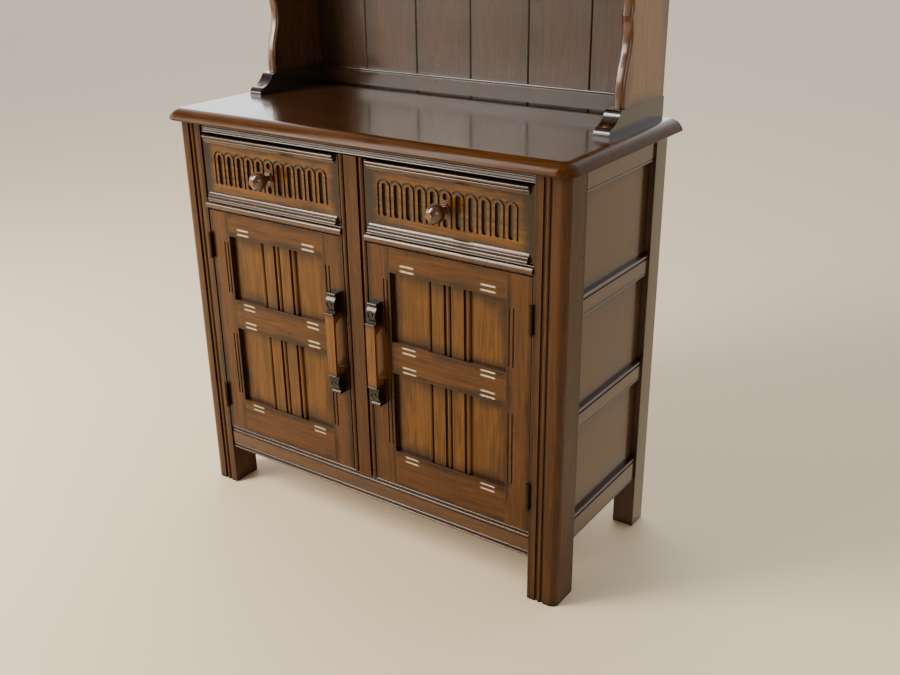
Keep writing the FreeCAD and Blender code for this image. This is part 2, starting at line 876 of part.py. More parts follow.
def drawer_runners():
    """Runners with guides that carry the drawers: one beside each post and one in the middle."""
    box_near = drawer_near + S.drawer_box_inset
    box_far = drawer_far - S.drawer_box_inset
    guide_z = (drawer_rail_top, drawer_rail_top + S.runner_guide_height)
    runner_z = (drawer_rail_bottom, drawer_rail_top)
    runners = []
    guide_near = box_far + S.guide_clearance
    guide_far = guide_near + S.runner_guide_width
    for side in SIDES.values():
        y = (front_post_rear, rear_post_front)
        base = box("side_runner_base", span(side, box_far - S.runner_width, guide_far), y, runner_z)
        guide = box("side_runner_guide", span(side, guide_near, guide_far), y, guide_z)
        runners.append(join("side_runner", [base, guide]))
    reach = box_near + S.runner_width
    guide_half = box_near - S.guide_clearance
    y = (rail_back, rear_rail_front)
    base = box("middle_runner_base", (-reach, reach), y, runner_z)
    guide = box("middle_runner_guide", (-guide_half, guide_half), y, guide_z)
    runners.append(join("middle_runner", [base, guide]))
    node(group("drawer_runner_set", runners), "drawer_runners")


def drawer_kickers():
    """Battens under the worktop that keep an open drawer from tipping."""
    z = (top_under - S.kicker_height, top_under)
    y = (rail_back, rear_rail_front)
    outer = drawer_far - S.drawer_box_inset
    kickers = [box("side_kicker", span(side, outer - S.runner_width, outer), y, z)
               for side in SIDES.values()]
    middle = drawer_near + S.drawer_box_inset + S.runner_width / 2
    kickers.append(box("middle_kicker", (-middle, middle), y, z))
    node(group("drawer_kicker_set", kickers), "drawer_kickers")


# Worktop and other moulded boards


def moulded_board(name, half_length, y, z, mould_width, lip):
    """A board with a thumbnail moulding round its front and ends, which turns under in a thin round lip."""
    margin = lip
    corner = mould_width + lip
    plan = [(-half_length, y[1]), (-half_length, y[0] + corner), (corner - half_length, y[0], QUARTER_TURN),
            (half_length - corner, y[0]), (half_length, y[0] + corner, QUARTER_TURN), (half_length, y[1])]
    fall = (z[1] - z[0] - lip) / mould_width
    lean = math.atan(fall.value)
    nose = lip * (1 - fall) * (1 - fall) / 2 - half_length
    under = nose + lip * fall
    inner = nose + mould_width
    top = z[1] + margin
    outside = -half_length - margin
    hollow = [(under, z[0]), (nose, z[0] + lip, -math.tan((math.pi - 2 * lean) / 4)),
              (inner, z[1], -math.tan(lean / 2)), (inner, top), (outside, top), (outside, z[0] - margin),
              (under, z[0] - margin)]
    body = doc.addObject("PartDesign::Body", name)
    pad(body, sketch_on(body, "XY", [plan], z[0]), z[1] - z[0])
    path = sketch_on(body, "XY", [plan], z[0], closed=False)
    moulding = body.newObject("PartDesign::SubtractivePipe", f"{name}_moulding")
    moulding.Profile = sketch_on(body, "XZ", [hollow], -y[1])
    moulding.Spine = (path, [])
    return body


def worktop():
    """The worktop, drilled for the screws of the rack's feet."""
    board = moulded_board("worktop_board", half_width + S.top_end_overhang,
                          (front - S.top_front_overhang, top_rear), (top_under, S.worktop_height),
                          S.top_mould_width, S.top_lip)
    holes = [screw_hole("worktop", side) for side in SIDES.values()]
    node(cut("worktop_drilled", board, holes), "worktop")


# Drawers


def arcade_groove(arch_top):
    """One outline for the grooves that run up between the arches and over them."""
    half_pitch = S.arch_pitch / 2
    half_groove = S.arch_groove / 2
    outer = half_pitch + half_groove
    inner = half_pitch - half_groove
    spring = arch_top - outer
    cusp_rise = (outer * outer - half_pitch * half_pitch).root()
    dip = math.asin((cusp_rise / outer).value)
    centres = [S.arch_pitch * (number - (ARCHES - 1) / 2) for number in range(ARCHES)]
    outline = [(centres[0] - outer, S.arch_foot), (centres[0] - outer, spring)]
    for number, centre in enumerate(centres[:-1]):
        turn = math.pi - (dip if number == 0 else 2 * dip)
        outline.append((centre + half_pitch, spring + cusp_rise, -math.tan(turn / 4)))
    outline.append((centres[-1] + outer, spring, -math.tan((math.pi - dip) / 4)))
    outline.append((centres[-1] + outer, S.arch_foot))
    for centre in reversed(centres):
        outline.append((centre + inner, S.arch_foot))
        outline.append((centre + inner, spring))
        outline.append((centre - inner, spring, HALF_TURN))
        outline.append((centre - inner, S.arch_foot))
    return outline


def arcade_slots(arch_top, knob_height):
    """Slots inside the arches; the middle one is broken round the knob."""
    top = arch_top - S.arch_groove - S.slot_crown
    half_slot = S.slot_width / 2
    half_break = S.slot_break / 2
    outlines = []
    for number in range(ARCHES):
        centre = S.arch_pitch * (number - (ARCHES - 1) / 2)
        u = (centre - half_slot, centre + half_slot)
        if number == (ARCHES - 1) // 2:
            outlines.append(slot(u, (S.arch_foot, knob_height - half_break)))
            outlines.append(slot(u, (knob_height + half_break, top)))
        else:
            outlines.append(slot(u, (S.arch_foot, top)))
    return outlines


def drawer_mouldings():
    """Sections of the mouldings along the top and bottom of a drawer front: two beads and a hollow."""
    bead = S.drawer_moulding_bead
    small = S.drawer_moulding_small_bead
    quirk = S.drawer_moulding_quirk
    outer = -S.drawer_moulding_reach + bead / 2
    inner = outer + bead / 4
    fillet = -S.drawer_moulding_fillet
    second = bead + quirk
    third = second + small
    lower = [(size_of(0), size_of(0), 0), (size_of(0), S.drawer_moulding_height, 0),
             (fillet, third + quirk, SHALLOW_TURN), (fillet, third, 0), (inner, third, 0),
             (inner, second, HALF_TURN), (inner, bead, 0), (outer, bead, 0), (outer, size_of(0), HALF_TURN)]
    upper = [(y, S.drawer_height - z, -bulge) for y, z, bulge in lower]
    return [lower, upper]


def drawer_front(name, middle, half_width_here, sockets):
    """The carved front: an arcade of slotted arches between two mouldings."""
    arch_top = S.arch_foot + S.arch_height
    knob_height = S.drawer_height / 2
    body = doc.addObject("PartDesign::Body", name + "_carved")
    board = rectangle((-half_width_here, half_width_here), (size_of(0), S.drawer_height))
    pad(body, sketch_on(body, "XZ", [board]), S.drawer_front_thickness, reverse=True)
    moulding_length = 2 * (half_width_here - S.drawer_moulding_return)
    pad(body, sketch_on(body, "YZ", drawer_mouldings()), moulding_length, middle=True)
    pocket(body, sketch_on(body, "XZ", [arcade_groove(arch_top)]), S.arch_groove_depth)
    pocket(body, sketch_on(body, "XZ", arcade_slots(arch_top, knob_height)), S.slot_depth)
    place(body, middle, rail_face, drawer_bottom)
    node(cut(name + "_jointed", body, sockets), name + "_front")


def knob(name, middle):
    """A turned ball knob with a small boss in front and a spigot behind."""
    ball = S.knob_diameter / 2
    boss = S.knob_boss_diameter / 2
    neck = S.knob_neck_diameter / 2
    spigot = S.knob_spigot_diameter / 2
    ball_end = S.knob_length - S.knob_boss_length
    centre = ball_end - (ball * ball - boss * boss).root()
    ball_start = centre - (ball * ball - neck * neck).root()
    turn = math.pi - math.asin((neck / ball).value) - math.asin((boss / ball).value)
    outline = [(size_of(0), -S.knob_spigot_length), (spigot, -S.knob_spigot_length), (spigot, size_of(0)),
               (S.knob_base_diameter / 2, size_of(0)), (S.knob_base_diameter / 2, S.knob_base_length),
               (neck, S.knob_base_length), (neck, ball_start), (boss, ball_end, math.tan(turn / 4)),
               (boss, S.knob_length), (size_of(0), S.knob_length)]
    piece = turning(name + "_turning", outline)
    piece.Placement.Rotation = FreeCAD.Rotation(FreeCAD.Vector(1, 0, 0), 90)
    place(piece, middle, rail_face, drawer_bottom + S.drawer_height / 2)
    node(piece, name + "_knob")


def drawer(name, side):
    """A drawer: carved front, housed sides, back, grooved-in bottom and knob."""
    near = drawer_near + S.drawer_box_inset
    far = drawer_far - S.drawer_box_inset
    middle = side * (drawer_near + drawer_far) / 2
    low = drawer_rail_top + S.runner_clearance
    high = drawer_top - S.drawer_side_drop
    lap_start = rail_face + S.drawer_lap
    front_back = rail_face + S.drawer_front_thickness
    end = rail_face + S.drawer_length
    bottom_z = (low + S.drawer_bottom_rise, low + S.drawer_bottom_rise + S.drawer_bottom_thickness)
    inner = (near + S.drawer_side_thickness, far - S.drawer_side_thickness)
    grooved = span(side, inner[0] - S.drawer_groove, inner[1] + S.drawer_groove)
    sides = []
    sockets = []
    for x in (span(side, near, inner[0]), span(side, inner[1], far)):
        board = box(name + "_side_board", x, (lap_start, end), (low, high))
        groove = box(name + "_side_groove", grooved, (lap_start, end), bottom_z)
        sides.append(cut(name + "_side", board, [groove]))
        sockets.append(box(name + "_socket", x, (lap_start, front_back), (low, high)))
    node(group(name + "_side_set", sides), name + "_sides")
    groove_y = (front_back - S.drawer_groove, front_back)
    sockets.append(box(name + "_front_groove", grooved, groove_y, bottom_z))
    turn = FreeCAD.Rotation(FreeCAD.Vector(1, 0, 0), -90)
    hole_radius = S.knob_spigot_diameter / 2 + S.knob_hole_clearance
    sockets.append(rod(name + "_knob_hole", hole_radius, S.knob_spigot_length + S.mortise_room,
                       middle, rail_face, drawer_bottom + S.drawer_height / 2, turn))
    drawer_front(name, middle, (drawer_far - drawer_near) / 2, sockets)
    back = box(name + "_back_board", span(side, *inner), (end - S.drawer_side_thickness, end),
               (bottom_z[1], high))
    node(back, name + "_back")
    base = box(name + "_base", grooved, (front_back - S.drawer_groove, end), bottom_z)
    node(base, name + "_bottom")
    knob(name, middle)


# Doors


def door_rows():
    """Low and high of the lower and the upper panel opening of a door."""
    upper_high = door_top - S.door_top_rail_height
    upper_low = upper_high - S.upper_panel_height
    lower_high = upper_low - S.door_mid_rail_height
    return (door_bottom + S.door_bottom_rail_height, lower_high), (upper_low, upper_high)


def door_rail_levels():
    """Low and high of the three rails of a door, from the bottom up."""
    lower, upper = door_rows()
    return [(door_bottom, lower[0]), (lower[1], upper[0]), (upper[1], door_top)]


def door_groove_y():
    """Depth range of the grooves, which is also that of the tenons."""
    start = door_face + S.door_panel_recess
    return start, start + S.panel_thickness


def gouge_cut(name, middle, level):
    """The sweep of a cutter that leaves a stroke in a door's face, deepest in its middle."""
    half = S.dash_length / 2
    sweep = (half * half + S.carving_depth * S.carving_depth) / (2 * S.carving_depth)
    centre_y = door_face + S.carving_depth - sweep
    return rod(name, sweep, S.dash_width, middle, centre_y, level - S.dash_width / 2)


def stile(name, side, edge, outer):
    """An upright of a door; edge is its side next to the panels and outer the other one."""
    away = 1 if outer.value > edge.value else -1
    lines = []
    for row in door_rows():
        z = shouldered(row, S.stile_line_stop)
        for number in range(2):
            middle = edge + away * (S.stile_line_offset + number * S.stile_line_pitch)
            x = span(side, middle - S.stile_line_width / 2, middle + S.stile_line_width / 2)
            lines.append(slot(x, z))
    x = span(side, *((edge, outer) if away > 0 else (outer, edge)))
    board = doc.addObject("PartDesign::Body", name + "_board")
    upright = rectangle(x, (door_bottom, door_top))
    pad(board, sketch_on(board, "XZ", [upright]), S.door_thickness, reverse=True)
    pocket(board, sketch_on(board, "XZ", lines), S.carving_depth)
    place(board, y=door_face)
    deep = edge + away * mortise_length
    shallow = edge + away * tongue_groove
    mortise_x = span(side, *((edge, deep) if away > 0 else (deep, edge)))
    groove_x = span(side, *((edge, shallow) if away > 0 else (shallow, edge)))
    levels = door_rail_levels()
    joints = [box(name + "_mortise", mortise_x, door_groove_y(), shouldered(level, tongue_groove))
              for level in levels]
    joints.append(box(name + "_groove", groove_x, door_groove_y(),
                      (levels[0][0] + tongue_groove, levels[-1][1] - tongue_groove)))
    node(cut(name + "_jointed", board, joints), name)


def door_rails(name, side, edges):
    """The three rails of a door, with pairs of gouged strokes at the ends next to each panel."""
    rails = []
    x = span(side, *edges)
    reach = span(side, edges[0] - S.tenon_length, edges[1] + S.tenon_length)
    last = len(door_rail_levels()) - 1
    for number, (low, high) in enumerate(door_rail_levels()):
        dash_levels = []
        grooves = []
        if number > 0:
            dash_levels += [low + S.dash_offset, low + S.dash_offset + S.dash_pitch]
            grooves.append((low, low + tongue_groove))
        if number < last:
            dash_levels += [high - S.dash_offset, high - S.dash_offset - S.dash_pitch]
            grooves.append((high - tongue_groove, high))
        board = box(f"{name}_rail_{number}_board", x, (door_face, door_back), (low, high))
        joints = [box(name + "_rail_groove", x, door_groove_y(), z) for z in grooves]
        stroke_middle = S.dash_inset + S.dash_length / 2
        for level in dash_levels:
            joints.append(gouge_cut(name + "_stroke", x[0] + stroke_middle, level))
            joints.append(gouge_cut(name + "_stroke", x[1] - stroke_middle, level))
        grooved = cut(f"{name}_rail_{number}_grooved", board, joints)
        tenon = box(name + "_rail_tenon", reach, door_groove_y(), shouldered((low, high), tongue_groove))
        rails.append(join(f"{name}_rail_{number}", [grooved, tenon]))
    node(group(name + "_rail_set", rails), name + "_rails")


def door_panel(name, side, edges, row):
    """A panel moulded from one board: plain fields beside a raised, beaded centre strip."""
    x = span(side, edges[0] - S.panel_tongue, edges[1] + S.panel_tongue)
    field_y = door_face + S.door_panel_recess
    strip_y = field_y - S.strip_rise
    end_bead = S.strip_quirk + S.strip_bead
    strip_width = 2 * (end_bead + S.strip_flat) + 2 * S.strip_quirk + S.strip_bead
    start = (x[0] + x[1] - strip_width) / 2
    strip = reeded([("first", S.strip_quirk, S.strip_bead), S.strip_flat,
                    ("reed", S.strip_quirk, S.strip_bead), S.strip_flat,
                    ("last", S.strip_quirk, S.strip_bead)])
    outline = [(x[0], field_y), (start, field_y)]
    outline += [(start + along, strip_y + depth, bulge) for along, depth, bulge in strip]
    outline += [(start + strip_width, field_y), (x[1], field_y)]
    outline += [(x[1], field_y + S.panel_thickness), (x[0], field_y + S.panel_thickness)]
    low = row[0] - S.panel_tongue
    high = row[1] + S.panel_tongue
    board = prism(name + "_board", "XY", outline, low, high - low)
    ends = [box(name + "_tongue_end", x, (strip_y, field_y), z) for z in ((low, row[0]), (row[1], high))]
    node(cut(name + "_tongued", board, ends), name)


def handle_boss(half_length):
    """Where the round boss that carries the eye begins and ends along a handle."""
    low = half_length - S.handle_block_length + S.handle_ridge + S.handle_hollow
    return low, half_length - S.handle_roll - S.handle_hollow


def handle_end(half_length):
    """Corners (depth, height, bulge) of the upper end of a handle, from the bar to the door face."""
    ridge = S.handle_ridge
    bar_front = S.handle_depth - ridge / 2
    sunk = bar_front - S.handle_step
    roll_base = sunk - S.handle_fall
    end = half_length - S.handle_block_length
    boss_low, boss_high = handle_boss(half_length)
    boss_turn = 2 * S.handle_crown.value / (boss_high - boss_low).value
    return [(bar_front, end, 0), (bar_front, end + ridge, HALF_TURN), (sunk, end + ridge, 0),
            (sunk, boss_low, 0), (roll_base, boss_high, boss_turn),
            (roll_base, half_length - S.handle_roll, -2 * SHALLOW_TURN),
            (roll_base - ridge / 2, half_length, 4 * SHALLOW_TURN), (size_of(0), half_length, 0)]


def handle(name, side):
    """A bridge handle: two carved ends on the door joined by a bar that fingers pass behind."""
    half_length = S.handle_length / 2
    upper = handle_end(half_length)
    bar_back = S.handle_depth - S.handle_ridge / 2 - S.handle_bar_thickness
    gap_door = S.handle_gap_length / 2
    gap_bar = gap_door - S.handle_cove
    lower = [(d, -z, bulge) for d, z, bulge in reversed(upper)]
    turned = [lower[0][:2]]
    for corner, follower in zip(lower, lower[1:]):
        turned.append((follower[0], follower[1], corner[2]))
    profile = turned + upper
    profile += [(size_of(0), gap_door), (bar_back, gap_bar, -SHALLOW_TURN), (bar_back, -gap_bar),
                (size_of(0), -gap_door, -SHALLOW_TURN)]
    outline = [(-corner[0], corner[1], -corner[2] if len(corner) > 2 else 0) for corner in profile]
    half_handle = S.handle_width / 2
    body = prism(name + "_section", "YZ", outline, -half_handle, S.handle_width)
    boss_low, boss_high = handle_boss(half_length)
    crown = S.handle_depth - (S.handle_ridge + S.handle_fall) / 2 - S.handle_step + S.handle_crown
    turn = FreeCAD.Rotation(FreeCAD.Vector(1, 0, 0), 90)
    groove_floor = S.eye_groove_depth - crown
    eyes = []
    for end in (-1, 1):
        z = end * (boss_low + boss_high) / 2
        disc = rod(name + "_eye_disc", S.eye_radius, S.handle_depth, 0, groove_floor, z, turn)
        pupil_radius = S.eye_radius - S.eye_groove_width
        pupil = rod(name + "_eye_pupil", pupil_radius, S.handle_depth, 0, groove_floor, z, turn)
        eyes.append(cut(name + "_eye_ring", disc, [pupil]))
    piece = cut(name + "_carved", body, eyes)
    middle = (door_bottom + door_top) / 2
    place(piece, side * (door_near + S.handle_edge_distance), door_face, middle + S.handle_rise)
    node(piece, name)


def hinge_levels():
    """Low ends of the lower and the upper hinge."""
    return (door_bottom + S.hinge_end_distance, door_top - S.hinge_end_distance - S.hinge_length)


def hinge_leaf(name, side, low, plate_x, knuckles):
    """A leaf: a flat plate with tabs that reach out to the knuckles it carries."""
    high = low + S.hinge_length
    x = span(side, *plate_x)
    pieces = [box(name + "_plate", x, (front, front + S.leaf_width), (low, high))]
    pitch = S.hinge_length / KNUCKLES
    for number in knuckles:
        start = low + pitch * number + S.knuckle_end_gap / 2
        length = pitch - S.knuckle_end_gap
        pieces.append(box(name + "_tab", x, (hinge_axis_y, front), (start, start + length)))
        pieces.append(rod(name + "_knuckle", S.knuckle_radius, length, side * hinge_axis_x, hinge_axis_y,
                          start))
    bore = rod(name + "_bore", S.pin_radius + S.pin_clearance, S.hinge_length,
               side * hinge_axis_x, hinge_axis_y, low)
    return cut(name, join(name + "_wrapped", pieces), [bore])


def hinges():
    """The leaves on the posts and the pins, two of each to a door."""
    leaves = []
    pins = []
    plate_x = (post_inner - S.leaf_thickness, post_inner)
    for side_name, side in SIDES.items():
        for low in hinge_levels():
            leaves.append(hinge_leaf(f"{side_name}_fixed_leaf", side, low, plate_x, range(0, KNUCKLES, 2)))
            pins.append(rod(f"{side_name}_pin", S.pin_radius, S.hinge_length, side * hinge_axis_x,
                            hinge_axis_y, low))
    node(group("fixed_leaf_set", leaves), "hinge_fixed_leaves")
    node(group("pin_set", pins), "hinge_pins")


def door(name, side):
    """A framed door with two moulded panels, a bridge handle and its halves of the hinges."""
    edges = (door_near + S.stile_width, door_far - S.stile_width)
    stile(name + "_lock_stile", side, edges[0], door_near)
    stile(name + "_hinge_stile", side, edges[1], door_far)
    door_rails(name, side, edges)
    lower, upper = door_rows()
    door_panel(name + "_lower_panel", side, edges, lower)
    door_panel(name + "_upper_panel", side, edges, upper)
    handle(name + "_handle", side)
    plate_x = (door_far, door_far + S.leaf_thickness)
    leaves = [hinge_leaf(name + "_leaf", side, low, plate_x, range(1, KNUCKLES, 2))
              for low in hinge_levels()]
    node(group(name + "_leaf_set", leaves), name + "_hinge_leaves")


# Plate rack


def screw_turn():
    """The lean of the foot screws, square to the slope of the foot."""
    slope = math.atan2((S.rack_foot_height / 4).value, (S.rack_foot_reach / 2).value)
    return FreeCAD.Rotation(FreeCAD.Vector(1, 0, 0), math.degrees(slope)), slope


def screw_seat(side):
    """The point under a screw's head."""
    x = side * (foot_inner + foot_outer) / 2
    return x, foot_front + S.screw_distance, S.worktop_height + S.screw_rise


def screw_rod(name, side, radius, start, length):
    """A round bar along a screw's axis, from a distance above the seat."""
    turn, slope = screw_turn()
    x, y, z = screw_seat(side)
    return rod(name, radius, length, x, y - start * math.sin(slope), z + start * math.cos(slope), turn)


def screw_hole(name, side):
    """The hole for the shank of a foot screw."""
    radius = S.screw_shank_diameter / 2 + S.screw_clearance
    length = S.screw_length + S.mortise_room
    return screw_rod(name + "_screw_hole", side, radius, -length, length)


def foot_screws():
    """Slotted round-headed screws through the feet into the worktop."""
    screws = []
    for side in SIDES.values():
        shank = screw_rod("screw_shank", side, S.screw_shank_diameter / 2, -S.screw_length, S.screw_length)
        head = screw_rod("screw_head", side, S.screw_head_diameter / 2, size_of(0), S.screw_head_length)
        screws.append(join("foot_screw", [shank, head]))
    node(group("foot_screw_set", screws), "rack_foot_screws")


def tongue_y():
    """Where the tongue under a rack side begins and ends."""
    return rack_front + S.rack_side_thickness, board_face - S.rack_side_thickness


def tongue_x(side):
    """The thickness range of the tongue under a rack side."""
    return span(side, rack_inner + S.rack_side_thickness / 4, rack_half - S.rack_side_thickness / 4)


def rack_foot(name, side):
    """A sledge foot with a nose that rises in a double curve to the side it carries."""
    base = S.worktop_height
    rise = S.rack_foot_height - S.rack_foot_nose
    reach = S.rack_foot_reach
    outline = [(foot_front, base), (top_rear, base), (top_rear, foot_top),
               (rack_front - reach / 6, foot_top),
               (rack_front - reach / 3, foot_top - rise / 4, SHALLOW_TURN),
               (foot_front + reach / 6, base + S.rack_foot_nose + rise / 6, -SHALLOW_TURN),
               (foot_front, base + S.rack_foot_nose / 2, SHALLOW_TURN)]
    start = span(side, foot_inner, foot_outer)[0]
    block = prism(name + "_block", "YZ", outline, start, S.rack_foot_thickness)
    socket = box(name + "_socket", tongue_x(side), tongue_y(),
                 (foot_top - S.rack_tongue - S.mortise_room, foot_top))
    seat = screw_rod(name + "_seat", side, S.screw_head_diameter / 2 + S.screw_clearance, size_of(0),
                     S.rack_foot_height)
    node(cut(name + "_bored", block, [socket, seat, screw_hole(name, side)]), name)


def side_edge():
    """Corners of a rack side's front edge, from the top down: a hollow, a cusp and a long double curve."""
    lower = S.worktop_height + S.rack_lower_shelf_rise
    upper = S.worktop_height + S.rack_upper_shelf_rise
    corners = [(rack_front, rack_top)]
    for shelf, floor in ((upper, lower), (lower, foot_top)):
        land = shelf - S.rack_edge_land
        tall = land - floor
        cusp = floor + tall * CUSP_LEVEL
        corners += [(rack_front, land), (rack_front + S.rack_cusp + S.rack_cusp_step, cusp, -FAINT_TURN),
                    (rack_front + S.rack_cusp, cusp),
                    (rack_front + S.rack_turn, floor + tall * TURN_LEVEL, -SHALLOW_TURN),
                    (rack_front, floor, FAINT_TURN)]
    return corners


def rack_side(name, side):
    """A shaped side of the rack, housed for the shelves and rebated for the back boards."""
    outline = [(top_rear, foot_top), (top_rear, rack_top)] + side_edge()
    x = span(side, rack_inner, rack_half)
    board = prism(name + "_board", "YZ", outline, x[0], S.rack_side_thickness)
    tongue = box(name + "_tongue", tongue_x(side), tongue_y(), (foot_top - S.rack_tongue, foot_top))
    whole = join(name + "_tongued", [board, tongue])
    joints = [box(name + "_rebate", span(side, rack_inner, rack_inner + S.rack_board_rebate),
                  (board_face, top_rear), (foot_top, rack_top))]
    for rise in (S.rack_lower_shelf_rise, S.rack_upper_shelf_rise):
        top = S.worktop_height + rise
        y = (rack_front + S.rack_shelf_setback, board_face)
        joints.append(box(name + "_housing", span(side, rack_inner, rack_inner + S.rack_shelf_housing), y,
                          (top - S.rack_shelf_thickness, top)))
    node(cut(name + "_jointed", whole, joints), name)


def rack_shelf(name, rise):
    """A rack shelf with a round front edge and a groove that plates stand in."""
    top = S.worktop_height + rise
    low = top - S.rack_shelf_thickness
    radius = S.rack_shelf_thickness / 2
    edge = rack_front + S.rack_shelf_setback + radius
    groove_end = board_face - S.plate_groove_distance
    groove_start = groove_end - S.plate_groove_width
    groove_low = top - S.plate_groove_depth
    outline = [(edge, low, HALF_TURN), (board_face, low), (board_face, top), (groove_end, top),
               (groove_end, groove_low), (groove_start, groove_low), (groove_start, top), (edge, top)]
    reach = rack_inner + S.rack_shelf_housing
    node(prism(name + "_board", "YZ", outline, -reach, 2 * reach), name)


def back_boards():
    """Lapped upright boards with small chamfers, so that each joint shows as a line."""
    reach = rack_inner + S.rack_board_rebate
    pitch = 2 * reach / RACK_BOARDS
    half_face = board_face + S.rack_board_thickness / 2
    chamfer = S.board_chamfer
    low = S.worktop_height
    boards = []
    for number in range(RACK_BOARDS):
        left = pitch * number - reach
        right = left + pitch
        outline = [(left, board_face + chamfer), (left + chamfer, board_face), (right - chamfer, board_face),
                   (right, board_face + chamfer), (right, half_face)]
        if number < RACK_BOARDS - 1:
            outline += [(right + S.rack_board_lap, half_face), (right + S.rack_board_lap, top_rear)]
        else:
            outline.append((right, top_rear))
        if number > 0:
            outline += [(left + S.rack_board_lap, top_rear), (left + S.rack_board_lap, half_face),
                        (left, half_face)]
        else:
            outline.append((left, top_rear))
        boards.append(prism("back_board_upright", "XY", outline, low, rack_top - low))
    feet = [box("back_board_notch", span(side, foot_inner, foot_outer), (board_face, top_rear),
                (low, foot_top)) for side in SIDES.values()]
    boards[0] = cut("back_board_left", boards[0], feet[:1])
    boards[-1] = cut("back_board_right", boards[-1], feet[1:])
    node(group("back_board_set", boards), "rack_back_boards")


def back_rail():
    """The rail along the foot of the back boards, with a bead along its top edge."""
    low = S.worktop_height + S.back_rail_clearance
    high = low + S.back_rail_height
    face = board_face - S.back_rail_thickness
    worked = reeded([S.back_rail_height - S.rail_quirk - S.rail_bead, ("last", S.rail_quirk, S.rail_bead)])
    outline = [(face + depth, low + along, -bulge) for along, depth, bulge in worked]
    outline += [(board_face, high), (board_face, low)]
    rail = prism("back_rail_board", "YZ", outline, -rack_inner, 2 * rack_inner)
    feet = [box("back_rail_notch", span(side, foot_inner, foot_outer), (face, board_face), (low, foot_top))
            for side in SIDES.values()]
    node(cut("back_rail_fitted", rail, feet), "rack_back_rail")


def frieze():
    """A board under the rack's top with a low arch cut in its lower edge."""
    low = rack_top - S.frieze_height
    end = rack_inner - S.frieze_end
    arch = math.tan(math.atan((S.frieze_rise / end).value))
    outline = [(-rack_inner, low), (-end, low), (end, low, -arch), (rack_inner, low),
               (rack_inner, rack_top), (-rack_inner, rack_top)]
    board = prism("frieze_board", "XZ", outline, rack_front + S.rack_shelf_setback, S.frieze_thickness)
    node(board, "rack_frieze")


def top_board():
    """The rack's top, moulded like the worktop."""
    board = moulded_board("rack_top_board", rack_half + S.rack_top_overhang,
                          (rack_front - S.rack_top_overhang, top_rear),
                          (rack_top, rack_top + S.rack_top_thickness), S.rack_top_mould_width, S.rack_top_lip)
    node(board, "rack_top")


def cupboard():
    """The fixed pieces of the cupboard."""
    for name, side in SIDES.items():
        front_post(f"front_{name}_post", side)
        rear_post(f"rear_{name}_post", side)
        side_frame(name, side)
    front_top_rail()
    rails = [drawer_rail(f"{name}_drawer_rail", side) for name, side in SIDES.items()]
    node(group("drawer_rail_set", rails), "drawer_rails")
    front_bottom_rail()
    centre_muntin()
    door_stop()
    rear_rails()
    back_panel()
    cupboard_floor()
    cupboard_shelf()
    drawer_runners()
    drawer_kickers()
    worktop()
    hinges()


def plate_rack():
    """The fixed pieces of the rack on the worktop."""
    for name, side in SIDES.items():
        rack_foot(f"rack_{name}_foot", side)
        rack_side(f"rack_{name}_side", side)
    back_boards()
    back_rail()
    rack_shelf("rack_lower_shelf", S.rack_lower_shelf_rise)
    rack_shelf("rack_upper_shelf", S.rack_upper_shelf_rise)
    frieze()
    top_board()
    foot_screws()


def export():
    """Recompute everything, make sure that it is sound and write one file to a sub-part."""
    doc.recompute()
    for item in doc.Objects:
        if "Invalid" in item.State or "Error" in item.State:
            raise RuntimeError(f"{item.Name} did not compute: {item.State}")
    os.makedirs("parts", exist_ok=True)
    for piece in nodes:
        if piece.Shape.isNull() or not piece.Shape.isValid() or not piece.Shape.Solids:
            raise RuntimeError(f"{piece.Label} has no sound solid")
        piece.Shape.exportStep(f"parts/{piece.Label}.step")


cupboard()
for side_name, side_sign in SIDES.items():
    drawer(f"{side_name}_drawer", side_sign)
    door(f"{side_name}_door", side_sign)
plate_rack()
export()
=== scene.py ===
"""Looks of an oak welsh dresser: dark lacquered oak, bronzed hinges and aged brass screws."""

import json
import logging
import math
from collections.abc import Callable
from dataclasses import dataclass, field
from enum import Enum
from typing import Any

import bpy
from mathutils import Euler, Matrix, Vector

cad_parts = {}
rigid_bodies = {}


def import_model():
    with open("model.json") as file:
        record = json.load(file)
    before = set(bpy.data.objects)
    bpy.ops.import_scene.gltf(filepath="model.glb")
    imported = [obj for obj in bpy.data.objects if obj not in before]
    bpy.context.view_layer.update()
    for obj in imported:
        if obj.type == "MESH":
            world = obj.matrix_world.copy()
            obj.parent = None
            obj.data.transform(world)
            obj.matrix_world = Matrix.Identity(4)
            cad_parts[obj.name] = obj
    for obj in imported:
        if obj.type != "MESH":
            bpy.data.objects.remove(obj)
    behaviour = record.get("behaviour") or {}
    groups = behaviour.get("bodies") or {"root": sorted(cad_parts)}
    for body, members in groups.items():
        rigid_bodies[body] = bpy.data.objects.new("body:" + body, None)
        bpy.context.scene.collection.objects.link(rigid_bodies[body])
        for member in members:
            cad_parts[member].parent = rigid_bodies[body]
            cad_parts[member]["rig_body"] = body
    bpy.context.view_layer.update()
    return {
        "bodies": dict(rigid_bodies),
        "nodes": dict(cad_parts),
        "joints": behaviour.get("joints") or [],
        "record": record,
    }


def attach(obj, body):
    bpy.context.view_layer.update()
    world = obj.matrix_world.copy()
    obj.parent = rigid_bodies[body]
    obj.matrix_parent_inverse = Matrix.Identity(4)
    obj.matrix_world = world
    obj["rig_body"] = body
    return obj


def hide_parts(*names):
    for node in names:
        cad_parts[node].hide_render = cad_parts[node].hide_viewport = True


LOG = logging.getLogger("dresser")
MM = 0.001


class Grain(Enum):
    """The direction that a board's grain runs in."""

    ACROSS = 0
    DEEP = 1
    UPRIGHT = 2


